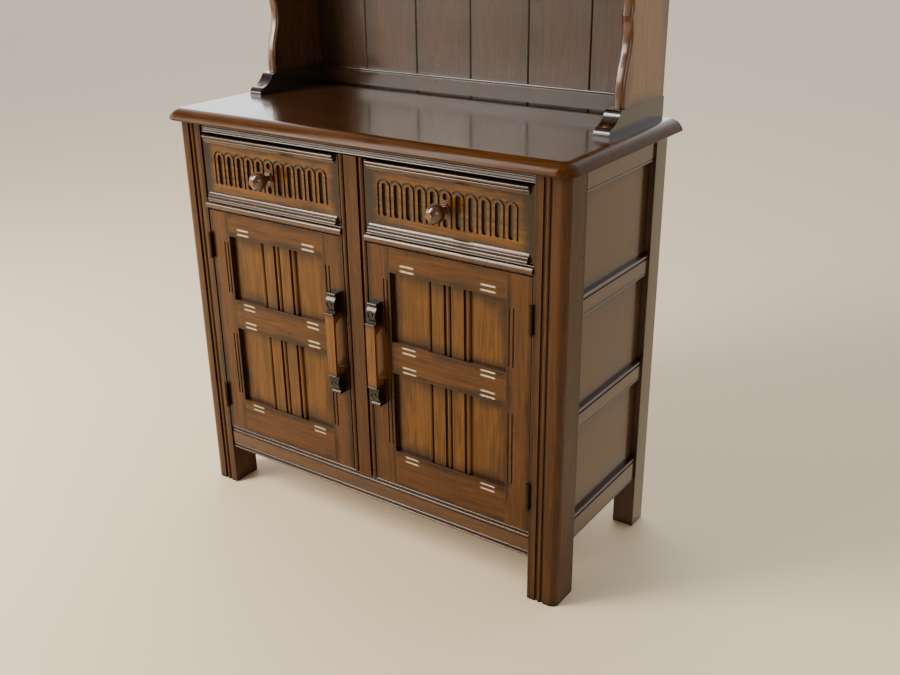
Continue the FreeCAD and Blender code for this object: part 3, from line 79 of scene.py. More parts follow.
def linear(hex_colour: str) -> tuple[float, float, float, float]:
    """Turns an sRGB hex colour into a linear one.

    Args:
        hex_colour: Six hex digits after a hash.

    Returns:
        Linear red, green and blue, with full alpha.
    """
    parts = [int(hex_colour[start:start + 2], 16) / 255 for start in (1, 3, 5)]
    red, green, blue = [part / 12.92 if part <= 0.04045 else ((part + 0.055) / 1.055) ** 2.4
                        for part in parts]
    return red, green, blue, 1.0


def add_node(tree: bpy.types.NodeTree, kind: str, settings: dict[str, Any] | None = None,
             **inputs: Any) -> bpy.types.Node:
    """Adds a shader node with its settings and links.

    Args:
        tree: The node tree of a material or of the world.
        kind: The node's type, without its ShaderNode prefix.
        settings: Properties of the node by name.
        inputs: Input sockets by name, or by in_ and their number, each with a value or a node's output.

    Returns:
        The new node.
    """
    node = tree.nodes.new("ShaderNode" + kind)
    for name, value in (settings or {}).items():
        setattr(node, name, value)
    for name, value in inputs.items():
        key = int(name.removeprefix("in_")) if name.startswith("in_") else name.replace("_", " ")
        socket = node.inputs[key]
        if isinstance(value, bpy.types.NodeSocket):
            tree.links.new(value, socket)
        else:
            socket.default_value = value
    return node


def new_material(name: str) -> tuple[bpy.types.Material, bpy.types.NodeTree]:
    """Starts a node material with nothing in it.

    Args:
        name: The name of the real material.

    Returns:
        The material and its empty node tree.
    """
    material = bpy.data.materials.new(name)
    material.use_nodes = True
    material.node_tree.nodes.clear()
    return material, material.node_tree


# Noise mostly lies between these two values.
NOISE_LOW = 0.3
NOISE_HIGH = 0.7
# Noise above the first value starts to open a pore, and above the second the pore is fully open.
PORE_START = 0.53
PORE_FULL = 0.68
# How far apart in the pattern neighbouring boards are cut, for each metre between them.
BOARD_SHIFT = 17.0
# How open a corner is, from 0 to 1, where dirt and painted shade, handling and a painted highlight on
# the edges, and tarnish are full and where they end.
GRIME_AND_SHADE_FULL = 0.25
GRIME_AND_SHADE_NONE = 0.9
WEAR_AND_HIGHLIGHT_FULL = 0.5
WEAR_AND_HIGHLIGHT_NONE = 0.85
TARNISH_FULL = 0.4
TARNISH_NONE = 0.9
# A face with a normal below this along Y looks forward.
FORWARD = -0.5
# A face looks along an axis when its normal's share of that axis is above this.
FACING = 0.9


@dataclass(frozen=True)
class StainedOak:
    """Planed oak under a brown spirit stain and a glossy lacquer.

    The stain is wiped back in the middle of each face, so a board shades from honey brown to nearly
    black at its edges, at its ends and in its carving; on the door rails the carving is instead a pale
    painted highlight. Open pores make dark dashes along the grain, drawn wider than real ones so that
    they show. The sharp edges are lightened, partly by handling and partly as a painted highlight, and
    ambient occlusion darkens the corners, partly as dirt and partly as painted shade.
    """

    name: str
    heart: str
    edge: str
    spread_mm: float
    roughness: float
    coat: float
    specular: float
    # The recess colour fills the open pores and, by ambient occlusion, darkens the corners as dirt and
    # painted shade.
    recess: str = "#0f0804"
    recess_mm: float = 8.0
    grime_and_shade: float = 0.92
    # The next colour lightens the sharp edges, partly from handling and partly as a painted highlight.
    worn_and_lit: str = "#6b4420"
    worn_and_lit_mm: float = 2.2
    wear_and_highlight: float = 0.5
    edge_mm: float = 0.0
    end_mm: float = 0.0
    end_blur: float = 0.2
    dark_ends: bool = True
    uneven: float = 0.3
    carving: str = "#0f0804"
    carving_mm: tuple[float, float] = (0.0, 0.0)
    carving_cover: float = 0.9
    band_mm: float = 9.0
    band_stretch: float = 16.0
    figure: float = 0.35
    pore_mm: float = 1.4
    pore_length_mm: float = 90.0
    pore_cover: float = 0.5
    cloud_mm: float = 90.909
    smoother: float = 0.04
    duller: float = 0.06
    coat_roughness: float = 0.12
    bump: float = 0.12
    bump_mm: float = 0.35

    def make(self, grain: Grain) -> bpy.types.Material:
        """Makes the material for boards whose grain runs one way.

        Args:
            grain: The direction of the grain.

        Returns:
            The node material.
        """
        material, tree = new_material(f"{self.name}_{grain.name.lower()}")
        where = add_node(tree, "TexCoord")
        low = add_node(tree, "Attribute", {"attribute_name": "board_low"}).outputs["Vector"]
        high = add_node(tree, "Attribute", {"attribute_name": "board_high"}).outputs["Vector"]
        shift = add_node(tree, "VectorMath", {"operation": "SCALE"}, in_0=low, Scale=BOARD_SHIFT).outputs[0]
        cut = add_node(tree, "VectorMath", {"operation": "ADD"}, in_0=where.outputs["Object"],
                       in_1=shift).outputs[0]
        bands = self._streaks(tree, cut, grain, (self.band_mm, self.band_stretch * self.band_mm),
                              Detail=3.0, Distortion=1.2)
        pores = self._streaks(tree, cut, grain, (self.pore_mm, self.pore_length_mm), Detail=1.0)
        open_pore = add_node(tree, "MapRange", None, in_0=pores, in_1=PORE_START, in_2=PORE_FULL, in_3=0.0,
                             in_4=self.pore_cover).outputs[0]
        clouds = add_node(tree, "TexNoise", None, Vector=cut, Scale=1 / (self.cloud_mm * MM),
                          Detail=3.0).outputs[0]
        centre = self._centre(tree, where, (low, high), clouds, grain)
        stain = add_node(tree, "MixRGB", None, in_0=centre, in_1=linear(self.edge),
                         in_2=linear(self.heart)).outputs[0]
        tone = add_node(tree, "MapRange", None, in_0=bands, in_1=NOISE_LOW, in_2=NOISE_HIGH,
                        in_3=1 - self.figure, in_4=1 + self.figure).outputs[0]
        toned = add_node(tree, "VectorMath", {"operation": "SCALE"}, in_0=stain, Scale=tone).outputs[0]
        grained = add_node(tree, "MixRGB", None, in_0=open_pore, in_1=toned,
                           in_2=linear(self.recess)).outputs[0]
        colour = self._aged(tree, grained)
        if self.carving_mm[1] > 0:
            carved = self._carved(tree, where, low)
            colour = add_node(tree, "MixRGB", None, in_0=carved, in_1=colour,
                              in_2=linear(self.carving)).outputs[0]
        gloss = add_node(tree, "MapRange", None, in_0=clouds, in_1=NOISE_LOW, in_2=NOISE_HIGH,
                         in_3=self.roughness - self.smoother, in_4=self.roughness + self.duller).outputs[0]
        height = add_node(tree, "Math", {"operation": "SUBTRACT"}, in_0=bands, in_1=open_pore).outputs[0]
        bump = add_node(tree, "Bump", None, Strength=self.bump, Distance=self.bump_mm * MM,
                        Height=height).outputs[0]
        shader = add_node(tree, "BsdfPrincipled", None, Base_Color=colour, Roughness=gloss, IOR=1.5,
                          Specular_IOR_Level=self.specular, Normal=bump, Coat_Weight=self.coat,
                          Coat_Roughness=self.coat_roughness)
        add_node(tree, "OutputMaterial", None, Surface=shader.outputs[0])
        return material

    def _streaks(self, tree: bpy.types.NodeTree, place: bpy.types.NodeSocket, grain: Grain,
                 size_mm: tuple[float, float], **noise: float) -> bpy.types.NodeSocket:
        """Adds noise that is drawn out along the grain.

        Args:
            tree: The material's node tree.
            place: The coordinates that the noise reads.
            grain: The direction of the grain.
            size_mm: The width and the length of a streak.
            noise: More inputs of the noise by name.

        Returns:
            The noise's value.
        """
        across_mm, along_mm = size_mm
        scale = [1 / (across_mm * MM)] * 3
        scale[grain.value] = 1 / (along_mm * MM)
        drawn_out = add_node(tree, "Mapping", None, Vector=place, Scale=scale).outputs[0]
        return add_node(tree, "TexNoise", None, Vector=drawn_out, Scale=1.0, **noise).outputs[0]

    def _aged(self, tree: bpy.types.NodeTree, colour: bpy.types.NodeSocket) -> bpy.types.NodeSocket:
        """Lightens the sharp edges, partly by handling and partly as a painted highlight, and darkens the
        corners, partly by dirt and partly as painted shade.

        Args:
            tree: The material's node tree.
            colour: The colour of the new wood.

        Returns:
            The colour of the old wood, with its painted highlight and painted shade.
        """
        # Sharp edges lightened toward the lighter edge colour: partly handling, partly a painted highlight.
        arris = add_node(tree, "AmbientOcclusion", {"samples": 4, "inside": True}, Distance=self.worn_and_lit_mm * MM)
        rubbed_and_lit = add_node(tree, "MapRange", None, in_0=arris.outputs["AO"], in_1=WEAR_AND_HIGHLIGHT_FULL, in_2=WEAR_AND_HIGHLIGHT_NONE,
                          in_3=self.wear_and_highlight, in_4=0.0).outputs[0]
        edged = add_node(tree, "MixRGB", None, in_0=rubbed_and_lit, in_1=colour, in_2=linear(self.worn_and_lit)).outputs[0]
        # Corners darkened by ambient occlusion toward the recess colour: partly dirt, partly painted shade.
        hidden = add_node(tree, "AmbientOcclusion", {"samples": 6}, Distance=self.recess_mm * MM)
        grime_and_shade = add_node(tree, "MapRange", None, in_0=hidden.outputs["AO"], in_1=GRIME_AND_SHADE_FULL, in_2=GRIME_AND_SHADE_NONE,
                         in_3=self.grime_and_shade, in_4=0.0).outputs[0]
        return add_node(tree, "MixRGB", None, in_0=grime_and_shade, in_1=edged, in_2=linear(self.recess)).outputs[0]

    def _centre(self, tree: bpy.types.NodeTree, where: bpy.types.Node,
                corners: tuple[bpy.types.NodeSocket, bpy.types.NodeSocket], clouds: bpy.types.NodeSocket,
                grain: Grain) -> bpy.types.NodeSocket:
        """Adds a value that is 1 in the middle of a board's faces and 0 along their edges and at dark ends.

        Args:
            tree: The material's node tree.
            where: The texture coordinates.
            corners: The board's lowest and highest corner.
            clouds: Noise that makes the shading uneven.
            grain: The direction of the grain.

        Returns:
            The value.
        """
        low, high = corners
        place = where.outputs["Object"]
        minus = {"operation": "SUBTRACT"}
        from_low = add_node(tree, "VectorMath", minus, in_0=place, in_1=low).outputs[0]
        from_high = add_node(tree, "VectorMath", minus, in_0=high, in_1=place).outputs[0]
        inset = add_node(tree, "VectorMath", {"operation": "MINIMUM"}, in_0=from_low,
                         in_1=from_high).outputs[0]
        facing = add_node(tree, "VectorMath", {"operation": "ABSOLUTE"}, in_0=where.outputs["Normal"])
        sideways = add_node(tree, "VectorMath", {"operation": "ADD"}, in_0=inset, in_1=facing.outputs[0])
        if not self.dark_ends:
            along_grain = [float(axis == grain.value) for axis in range(3)]
            sideways = add_node(tree, "VectorMath", {"operation": "ADD"}, in_0=sideways.outputs[0],
                                in_1=along_grain)
        parts = add_node(tree, "SeparateXYZ", None, Vector=sideways.outputs[0]).outputs
        least = {"operation": "MINIMUM"}
        nearest = add_node(tree, "Math", least, in_0=parts[0], in_1=parts[1]).outputs[0]
        edge = add_node(tree, "Math", least, in_0=nearest, in_1=parts[2]).outputs[0]
        sway = self.uneven * self.spread_mm * MM
        uneven = add_node(tree, "MapRange", None, in_0=clouds, in_1=NOISE_LOW, in_2=NOISE_HIGH, in_3=-sway,
                          in_4=sway).outputs[0]
        wavy = add_node(tree, "Math", {"operation": "ADD"}, in_0=edge, in_1=uneven).outputs[0]
        smooth = {"interpolation_type": "SMOOTHSTEP"}
        centre = add_node(tree, "MapRange", smooth, in_0=wavy, in_1=self.edge_mm * MM,
                          in_2=(self.edge_mm + self.spread_mm) * MM, in_3=0.0, in_4=1.0).outputs[0]
        if self.end_mm == 0:
            return centre
        along = add_node(tree, "SeparateXYZ", None, Vector=inset).outputs[grain.value]
        ends = add_node(tree, "MapRange", smooth, in_0=along, in_1=(1 - self.end_blur) * self.end_mm * MM,
                        in_2=(1 + self.end_blur) * self.end_mm * MM, in_3=0.0, in_4=1.0).outputs[0]
        return add_node(tree, "Math", {"operation": "MULTIPLY"}, in_0=centre, in_1=ends).outputs[0]

    def _carved(self, tree: bpy.types.NodeTree, where: bpy.types.Node,
                low: bpy.types.NodeSocket) -> bpy.types.NodeSocket:
        """Adds a value for the floor of the carving, by its depth below the board's foremost point.

        Args:
            tree: The material's node tree.
            where: The texture coordinates.
            low: The board's lowest corner.

        Returns:
            The value, from 0 on open faces to nearly 1 on the floor of the carving.
        """
        behind = add_node(tree, "VectorMath", {"operation": "SUBTRACT"}, in_0=where.outputs["Object"],
                          in_1=low).outputs[0]
        depth = add_node(tree, "SeparateXYZ", None, Vector=behind).outputs[1]
        start, end = self.carving_mm
        sunk = add_node(tree, "MapRange", {"interpolation_type": "SMOOTHSTEP"}, in_0=depth, in_1=start * MM,
                        in_2=end * MM, in_3=0.0, in_4=self.carving_cover).outputs[0]
        turned = add_node(tree, "SeparateXYZ", None, Vector=where.outputs["Normal"]).outputs[1]
        forward = add_node(tree, "Math", {"operation": "LESS_THAN"}, in_0=turned, in_1=FORWARD).outputs[0]
        return add_node(tree, "Math", {"operation": "MULTIPLY"}, in_0=sunk, in_1=forward).outputs[0]


@dataclass(frozen=True)
class DullMetal:
    """Cast or turned metal that has lost its polish, cloudy in colour and in gloss, dark in its corners."""

    name: str
    bright: str
    dull: str
    roughness: float
    cloud_mm: float
    tarnish: str = "#0d0a07"
    tarnish_mm: float = 2.0
    tarnish_cover: float = 0.85
    duller: float = 0.12
    bump: float = 0.1
    bump_mm: float = 0.1

    def make(self) -> bpy.types.Material:
        """Makes the material.

        Returns:
            The node material.
        """
        material, tree = new_material(self.name)
        place = add_node(tree, "TexCoord").outputs["Object"]
        clouds = add_node(tree, "TexNoise", None, Vector=place, Scale=1 / (self.cloud_mm * MM),
                          Detail=4.0).outputs[0]
        colour = add_node(tree, "MixRGB", None, in_0=clouds, in_1=linear(self.dull),
                          in_2=linear(self.bright)).outputs[0]
        hidden = add_node(tree, "AmbientOcclusion", {"samples": 6}, Distance=self.tarnish_mm * MM)
        tarnish = add_node(tree, "MapRange", None, in_0=hidden.outputs["AO"], in_1=TARNISH_FULL,
                           in_2=TARNISH_NONE, in_3=self.tarnish_cover, in_4=0.0).outputs[0]
        dirty = add_node(tree, "MixRGB", None, in_0=tarnish, in_1=colour,
                         in_2=linear(self.tarnish)).outputs[0]
        gloss = add_node(tree, "MapRange", None, in_0=clouds, in_1=NOISE_LOW, in_2=NOISE_HIGH,
                         in_3=self.roughness + self.duller, in_4=self.roughness).outputs[0]
        bump = add_node(tree, "Bump", None, Strength=self.bump, Distance=self.bump_mm * MM,
                        Height=clouds).outputs[0]
        shader = add_node(tree, "BsdfPrincipled", None, Base_Color=dirty, Metallic=1.0, Roughness=gloss,
                          Normal=bump)
        add_node(tree, "OutputMaterial", None, Surface=shader.outputs[0])
        return material


# Front posts, muntin and door stop: brown with dark edges, and a lacquer so thin that it hardly mirrors
# the floor.
FRAME_OAK = StainedOak("frame_oak", heart="#422407", edge="#211105", spread_mm=16.0, roughness=0.28, coat=0.2,
                       specular=0.16)
# Rails and rear posts of the sides: thicker lacquer, so a grey sheen of the room lies over the brown.
SIDE_OAK = StainedOak("side_oak", heart="#452a10", edge="#2a1807", spread_mm=20.0, roughness=0.2, coat=0.55,
                      specular=0.45, figure=0.2)
# Panels of the sides: plain straight-grained oak under the same sheen.
SIDE_PANEL_OAK = StainedOak("side_panel_oak", heart="#482a0b", edge="#241305", spread_mm=42.0, roughness=0.22,
                            coat=0.42, specular=0.36, figure=0.12)
# Reeded rail under the worktop: nearly black, with crisp lines of light along its reeds.
REEDED_OAK = StainedOak("reeded_oak", heart="#331b07", edge="#1c0e05", spread_mm=12.0, roughness=0.16,
                        coat=0.9, specular=0.5, worn_and_lit="#3a2009")
# Moulded rails under the drawers and doors: dark, with a bright line along the nose.
MOULDED_OAK = StainedOak("moulded_oak", heart="#442608", edge="#1c0e05", spread_mm=12.0, roughness=0.18,
                         coat=0.42, specular=0.3, worn_and_lit="#3a2009")
# Door stiles: brown with dark edges, and grooves that the stain has filled.
STILE_OAK = StainedOak("stile_oak", heart="#4a2a0a", edge="#211105", spread_mm=16.0, roughness=0.28, coat=0.2,
                       specular=0.16, carving="#1a0d05", carving_mm=(0.5, 1.4), dark_ends=False)
# Door rails: the same brown, with short strokes whose pale floors stand for the light that they catch.
DOOR_RAIL_OAK = StainedOak("door_rail_oak", heart="#4a2a0a", edge="#211105", spread_mm=16.0, roughness=0.28,
                           coat=0.2, specular=0.16, carving="#cdbd9c", carving_mm=(0.5, 1.4), dark_ends=False)
# Door panels: rubbed back to a warm honey in the middle.
PANEL_OAK = StainedOak("panel_oak", heart="#58360c", edge="#281506", spread_mm=42.0, roughness=0.3, coat=0.2,
                       specular=0.16)
# Drawer fronts: honey round the arches, dark ends, and grey-brown floors in the slots.
CARVED_OAK = StainedOak("carved_oak", heart="#5a370f", edge="#1c0e05", spread_mm=28.0, roughness=0.2,
                        coat=0.26, specular=0.2, worn_and_lit="#4a2c10", edge_mm=8.0, carving="#352b1c",
                        carving_mm=(9.5, 11.4), figure=0.45)
# Mouldings and cut edges of the drawer fronts: darker and glossier, so that each edge catches the light.
CARVED_EDGE_OAK = StainedOak("carved_edge_oak", heart="#3a2009", edge="#1c0e05", spread_mm=14.0,
                             roughness=0.18, coat=0.45, specular=0.34, worn_and_lit="#3a2009")
# Door handles: a honey bar between nearly black carved ends.
HANDLE_OAK = StainedOak("handle_oak", heart="#643a08", edge="#120904", spread_mm=6.0, roughness=0.24,
                        coat=0.3, specular=0.2, worn_and_lit="#4a2c10", end_mm=46.0)
# Turned knobs: brown under a thick gloss with small sharp lights.
KNOB_OAK = StainedOak("knob_oak", heart="#45280f", edge="#2c1707", spread_mm=10.0, roughness=0.2, coat=0.8,
                      specular=0.5)
# Worktop: polished until it mirrors the boards behind it, with a faint ripple of the grain.
TOP_OAK = StainedOak("top_oak", heart="#361f0e", edge="#4a2b0e", spread_mm=40.0, roughness=0.14, coat=0.0,
                     specular=0.6, bump=0.09)
# Moulded edge of the worktop: dulled by hands, with a lighter brown than the top that is painted light on its
# curve, which faces the lamps.
TOP_EDGE_OAK = StainedOak("top_edge_oak", heart="#432509", edge="#371e07", spread_mm=20.0, roughness=0.2,
                          coat=0.0, specular=0.09, worn_and_lit="#4a2a0b")
# Back boards of the rack: dull brown with open grain that breaks up the window light.
BOARD_OAK = StainedOak("board_oak", heart="#3a220d", edge="#301b0a", spread_mm=40.0, roughness=0.3, coat=0.3,
                       specular=0.45, band_mm=5.0, bump=0.4)
# Shelves, rail, frieze and top of the rack: dark brown with a soft sheen.
RACK_OAK = StainedOak("rack_oak", heart="#331d0c", edge="#221307", spread_mm=26.0, roughness=0.24, coat=0.35,
                      specular=0.45, worn_and_lit="#4a2c10")
# Feet of the rack: nearly black and glossy.
FOOT_OAK = StainedOak("foot_oak", heart="#25140a", edge="#170c05", spread_mm=20.0, roughness=0.16, coat=0.6,
                      specular=0.5, worn_and_lit="#2a170a")
# Inner faces and scrolled edges of the rack's sides: red-brown with a long light down the curve.
SCROLL_OAK = StainedOak("scroll_oak", heart="#4a280d", edge="#241206", spread_mm=24.0, roughness=0.2,
                        coat=0.5, specular=0.45, worn_and_lit="#4a2c10", figure=0.25)
# Outer faces of the rack's sides: lighter than the rest, as painted light where they face the room's light.
LIT_RACK_SIDE_OAK = StainedOak("rack_side_oak", heart="#72491f", edge="#40250f", spread_mm=40.0, roughness=0.22,
                           coat=0.6, specular=0.5, worn_and_lit="#4a2c10", figure=0.2)
# Inside and drawer boxes: bare pale wood, dry and matt.
INSIDE_OAK = StainedOak("inside_oak", heart="#8f6a40", edge="#7a5733", spread_mm=20.0, roughness=0.6,
                        coat=0.0, specular=0.35, recess="#3a2612", worn_and_lit="#94704a", figure=0.14)
# Back panel of the cupboard: thin plywood with a brown wash, matt.
BACK_PLY = StainedOak("back_ply", heart="#644526", edge="#573b1f", spread_mm=20.0, roughness=0.55, coat=0.0,
                      specular=0.3, recess="#2c1c0e", worn_and_lit="#6a4a28", figure=0.12)
# Hinges: iron with a dull bronze skin.
BRONZED_IRON = DullMetal("bronzed_iron", bright="#4a3a28", dull="#1c1712", roughness=0.42, cloud_mm=6.0)
# Foot screws: brass gone brown, with dirt in the slot.
AGED_BRASS = DullMetal("aged_brass", bright="#8f7a4e", dull="#4a3a20", roughness=0.36, cloud_mm=3.0)


class Finishes:
    """Makes each finish once and hands it out again."""

    def __init__(self) -> None:
        """Starts with nothing made."""
        self._made: dict[str, bpy.types.Material] = {}

    def oak(self, finish: StainedOak, grain: Grain) -> bpy.types.Material:
        """Gives the oak of one finish and grain.

        Args:
            finish: The stain and lacquer.
            grain: The direction of the grain.

        Returns:
            The material.
        """
        key = f"{finish.name}_{grain.name}"
        if key not in self._made:
            self._made[key] = finish.make(grain)
        return self._made[key]

    def metal(self, finish: DullMetal) -> bpy.types.Material:
        """Gives a metal finish.

        Args:
            finish: The metal.

        Returns:
            The material.
        """
        if finish.name not in self._made:
            self._made[finish.name] = finish.make()
        return self._made[finish.name]


def only(piece: bpy.types.Object) -> None:
    """Selects one object alone and makes it active.

    Args:
        piece: The object.
    """
    bpy.ops.object.select_all(action="DESELECT")
    piece.select_set(True)
    bpy.context.view_layer.objects.active = piece


def looks_outward(polygon: bpy.types.MeshPolygon) -> bool:
    """Tells whether a face looks sideways, away from the dresser's middle.

    Args:
        polygon: The face.

    Returns:
        Whether it does.
    """
    return polygon.normal.x * math.copysign(1, polygon.center.x) > FACING


def solid_numbers(mesh: bpy.types.Mesh) -> list[int]:
    """Numbers the solids of a node, whose triangles follow each other: one ends where its skin closes.

    Args:
        mesh: The node's mesh of loose triangles.

    Returns:
        The number of each triangle's solid.
    """
    open_edges: set[tuple[tuple[float, ...], tuple[float, ...]]] = set()
    numbers: list[int] = []
    number = 0
    for polygon in mesh.polygons:
        numbers.append(number)
        corners = [tuple(round(part, 5) for part in mesh.vertices[index].co) for index in polygon.vertices]
        for start, end in zip(corners, corners[1:] + corners[:1]):
            if (end, start) in open_edges:
                open_edges.remove((end, start))
            elif start != end:
                open_edges.add((start, end))
        if not open_edges:
            number += 1
    return numbers


@dataclass
class Joiner:
    """Eases the sharp edges of the sawn boards and dresses them. Angles are in degrees."""

    frame: dict[str, Any]
    finishes: Finishes = field(default_factory=Finishes)
    merge_mm: float = 0.02
    flat_angle: float = 0.5
    sharp_angle: float = 40.0
    ease_steps: int = 2
    metal_ease_mm: float = 0.25

    def boards(self, node: str) -> list[bpy.types.Object]:
        """Copies a node as one clean mesh to each of its boards.

        Args:
            node: The name of the node.

        Returns:
            The boards.
        """
        copy = bpy.data.objects.new(f"{node}_board", self.frame["nodes"][node].data.copy())
        bpy.context.scene.collection.objects.link(copy)
        copy.data.materials.clear()
        numbers = solid_numbers(copy.data)
        for _ in range(max(numbers) + 1):
            copy.data.materials.append(None)
        copy.data.polygons.foreach_set("material_index", numbers)
        only(copy)
        bpy.ops.mesh.customdata_custom_splitnormals_clear()
        bpy.ops.object.mode_set(mode="EDIT")
        bpy.ops.mesh.select_all(action="SELECT")
        bpy.ops.mesh.separate(type="MATERIAL")
        bpy.ops.object.mode_set(mode="OBJECT")
        pieces = sorted(bpy.context.selected_objects, key=lambda piece: piece.name)
        for piece in pieces:
            only(piece)
            bpy.ops.object.mode_set(mode="EDIT")
            bpy.ops.mesh.select_all(action="SELECT")
            bpy.ops.mesh.remove_doubles(threshold=self.merge_mm * MM)
            bpy.ops.mesh.dissolve_limited(angle_limit=math.radians(self.flat_angle))
            bpy.ops.object.mode_set(mode="OBJECT")
            piece.data.materials.clear()
        return pieces

    def ease(self, piece: bpy.types.Object, width_mm: float) -> None:
        """Rounds the sharp edges of a board and smooths its curves.

        Args:
            piece: The board.
            width_mm: The width of the rounding.
        """
        only(piece)
        rounding = piece.modifiers.new("eased_edges", "BEVEL")
        rounding.width = width_mm * MM
        rounding.segments = self.ease_steps
        rounding.limit_method = "ANGLE"
        rounding.angle_limit = math.radians(self.sharp_angle)
        rounding.use_clamp_overlap = True
        bpy.ops.object.modifier_apply(modifier=rounding.name)
        bpy.ops.object.shade_smooth_by_angle(angle=math.radians(self.sharp_angle))
        flat_faces = piece.modifiers.new("flat_faces", "WEIGHTED_NORMAL")
        flat_faces.keep_sharp = True
        bpy.ops.object.modifier_apply(modifier=flat_faces.name)

    def measure(self, piece: bpy.types.Object) -> None:
        """Writes a board's lowest and highest corner on its mesh, for the shading of its finish.

        Args:
            piece: The board.
        """
        corners = [vertex.co for vertex in piece.data.vertices]
        for name, pick in (("board_low", min), ("board_high", max)):
            corner = [pick(point[axis] for point in corners) for axis in range(3)]
            attribute = piece.data.attributes.new(name, "FLOAT_VECTOR", "POINT")
            attribute.data.foreach_set("vector", corner * len(corners))

    def hand_over(self, piece: bpy.types.Object, node: str, material: bpy.types.Material, slot: str) -> None:
        """Gives a finished piece its material and puts it in the place of its node.

        Args:
            piece: The piece.
            node: The name of the node that it stands for.
            material: Its material.
            slot: The record's material slot; not used.
        """
        piece.data.materials.append(material)
        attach(piece, self.frame["nodes"][node]["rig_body"])
        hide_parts(node)
        LOG.info("%s: %d faces", piece.name, len(piece.data.polygons))

    def dress(self, node: str, finish: StainedOak, grain: Grain, slot: str,
              width_mm: float) -> list[bpy.types.Object]:
        """Replaces a node by eased boards in their finish.

        Args:
            node: The name of the node.
            finish: The oak.
            grain: The direction of the grain.
            slot: The record's material slot.
            width_mm: The width of the eased edges.

        Returns:
            The boards.
        """
        pieces = self.boards(node)
        for piece in pieces:
            self.ease(piece, width_mm)
            self.measure(piece)
            self.hand_over(piece, node, self.finishes.oak(finish, grain), slot)
        return pieces

    def repaint(self, pieces: list[bpy.types.Object], finish: StainedOak, grain: Grain,
                picks: Callable[[bpy.types.MeshPolygon], bool]) -> None:
        """Gives some faces of dressed boards a second finish.

        Args:
            pieces: The boards.
            finish: The second finish.
            grain: The direction of the grain.
            picks: Tells whether a face gets the second finish.
        """
        for piece in pieces:
            piece.data.materials.append(self.finishes.oak(finish, grain))
            for polygon in piece.data.polygons:
                polygon.material_index = int(picks(polygon))

    def plate(self, node: str, finish: DullMetal, slot: str) -> None:
        """Replaces a metal node by a copy in its finish.

        Args:
            node: The name of the node.
            finish: The metal.
            slot: The record's material slot.
        """
        for piece in self.boards(node):
            self.ease(piece, self.metal_ease_mm)
            self.hand_over(piece, node, self.finishes.metal(finish), slot)


@dataclass
class Cupboard:
    """The fixed frame, panels and worktop of the lower half.

    A face of the worktop whose normal points up less than the level belongs to its edge.
    """

    joiner: Joiner
    ease_mm: float = 0.9
    level: float = 0.99

    def build(self) -> None:
        """Dresses every fixed piece of the cupboard."""
        for side in ("left", "right"):
            self.joiner.dress(f"front_{side}_post", FRAME_OAK, Grain.UPRIGHT, "frame_oak", self.ease_mm)
            self.joiner.dress(f"rear_{side}_post", SIDE_OAK, Grain.UPRIGHT, "frame_oak", self.ease_mm)
        self.joiner.dress("centre_muntin", FRAME_OAK, Grain.UPRIGHT, "frame_oak", self.ease_mm)
        self.joiner.dress("front_top_rail", REEDED_OAK, Grain.ACROSS, "frame_oak", self.ease_mm)
        for node in ("drawer_rails", "front_bottom_rail"):
            self.joiner.dress(node, MOULDED_OAK, Grain.ACROSS, "frame_oak", self.ease_mm)
        for side in ("left", "right"):
            self.joiner.dress(f"{side}_side_rails", SIDE_OAK, Grain.DEEP, "frame_oak", self.ease_mm)
            self.joiner.dress(f"{side}_side_panels", SIDE_PANEL_OAK, Grain.UPRIGHT, "panel_oak", self.ease_mm)
        top = self.joiner.dress("worktop", TOP_OAK, Grain.ACROSS, "frame_oak", self.ease_mm)
        # The edge faces get a duller finish and a lighter brown, the brown being painted light.
        self.joiner.repaint(top, TOP_EDGE_OAK, Grain.ACROSS, lambda polygon: polygon.normal.z < self.level)
        self.joiner.dress("base_back_panel", BACK_PLY, Grain.UPRIGHT, "inside_oak", self.ease_mm)
        for node in ("rear_rails", "cupboard_floor", "cupboard_shelf"):
            self.joiner.dress(node, INSIDE_OAK, Grain.ACROSS, "inside_oak", self.ease_mm)
        for node in ("shelf_cleats", "drawer_runners", "drawer_kickers"):
            self.joiner.dress(node, INSIDE_OAK, Grain.DEEP, "inside_oak", self.ease_mm)
        self.joiner.dress("door_stop", FRAME_OAK, Grain.UPRIGHT, "frame_oak", self.ease_mm)
        for node in ("hinge_fixed_leaves", "hinge_pins"):
            self.joiner.plate(node, BRONZED_IRON, "hinge_iron")


@dataclass
class Drawer:
    """A drawer with a carved front.

    A face of the front whose normal points forward less than the flat belongs to its mouldings.
    """

    joiner: Joiner
    side: str
    ease_mm: float = 0.6
    carving_ease_mm: float = 1.1
    flat: float = 0.97

    def build(self) -> None:
        """Dresses the drawer's front, box and knob."""
        name = f"{self.side}_drawer"
        front = self.joiner.dress(f"{name}_front", CARVED_OAK, Grain.ACROSS, "panel_oak",
                                  self.carving_ease_mm)
        self.joiner.repaint(front, CARVED_EDGE_OAK, Grain.ACROSS,
                            lambda polygon: polygon.normal.y > -self.flat)
        self.joiner.dress(f"{name}_knob", KNOB_OAK, Grain.DEEP, "frame_oak", self.ease_mm)
        self.joiner.dress(f"{name}_sides", INSIDE_OAK, Grain.DEEP, "inside_oak", self.ease_mm)
        self.joiner.dress(f"{name}_back", INSIDE_OAK, Grain.ACROSS, "inside_oak", self.ease_mm)
        self.joiner.dress(f"{name}_bottom", INSIDE_OAK, Grain.ACROSS, "inside_oak", self.ease_mm)


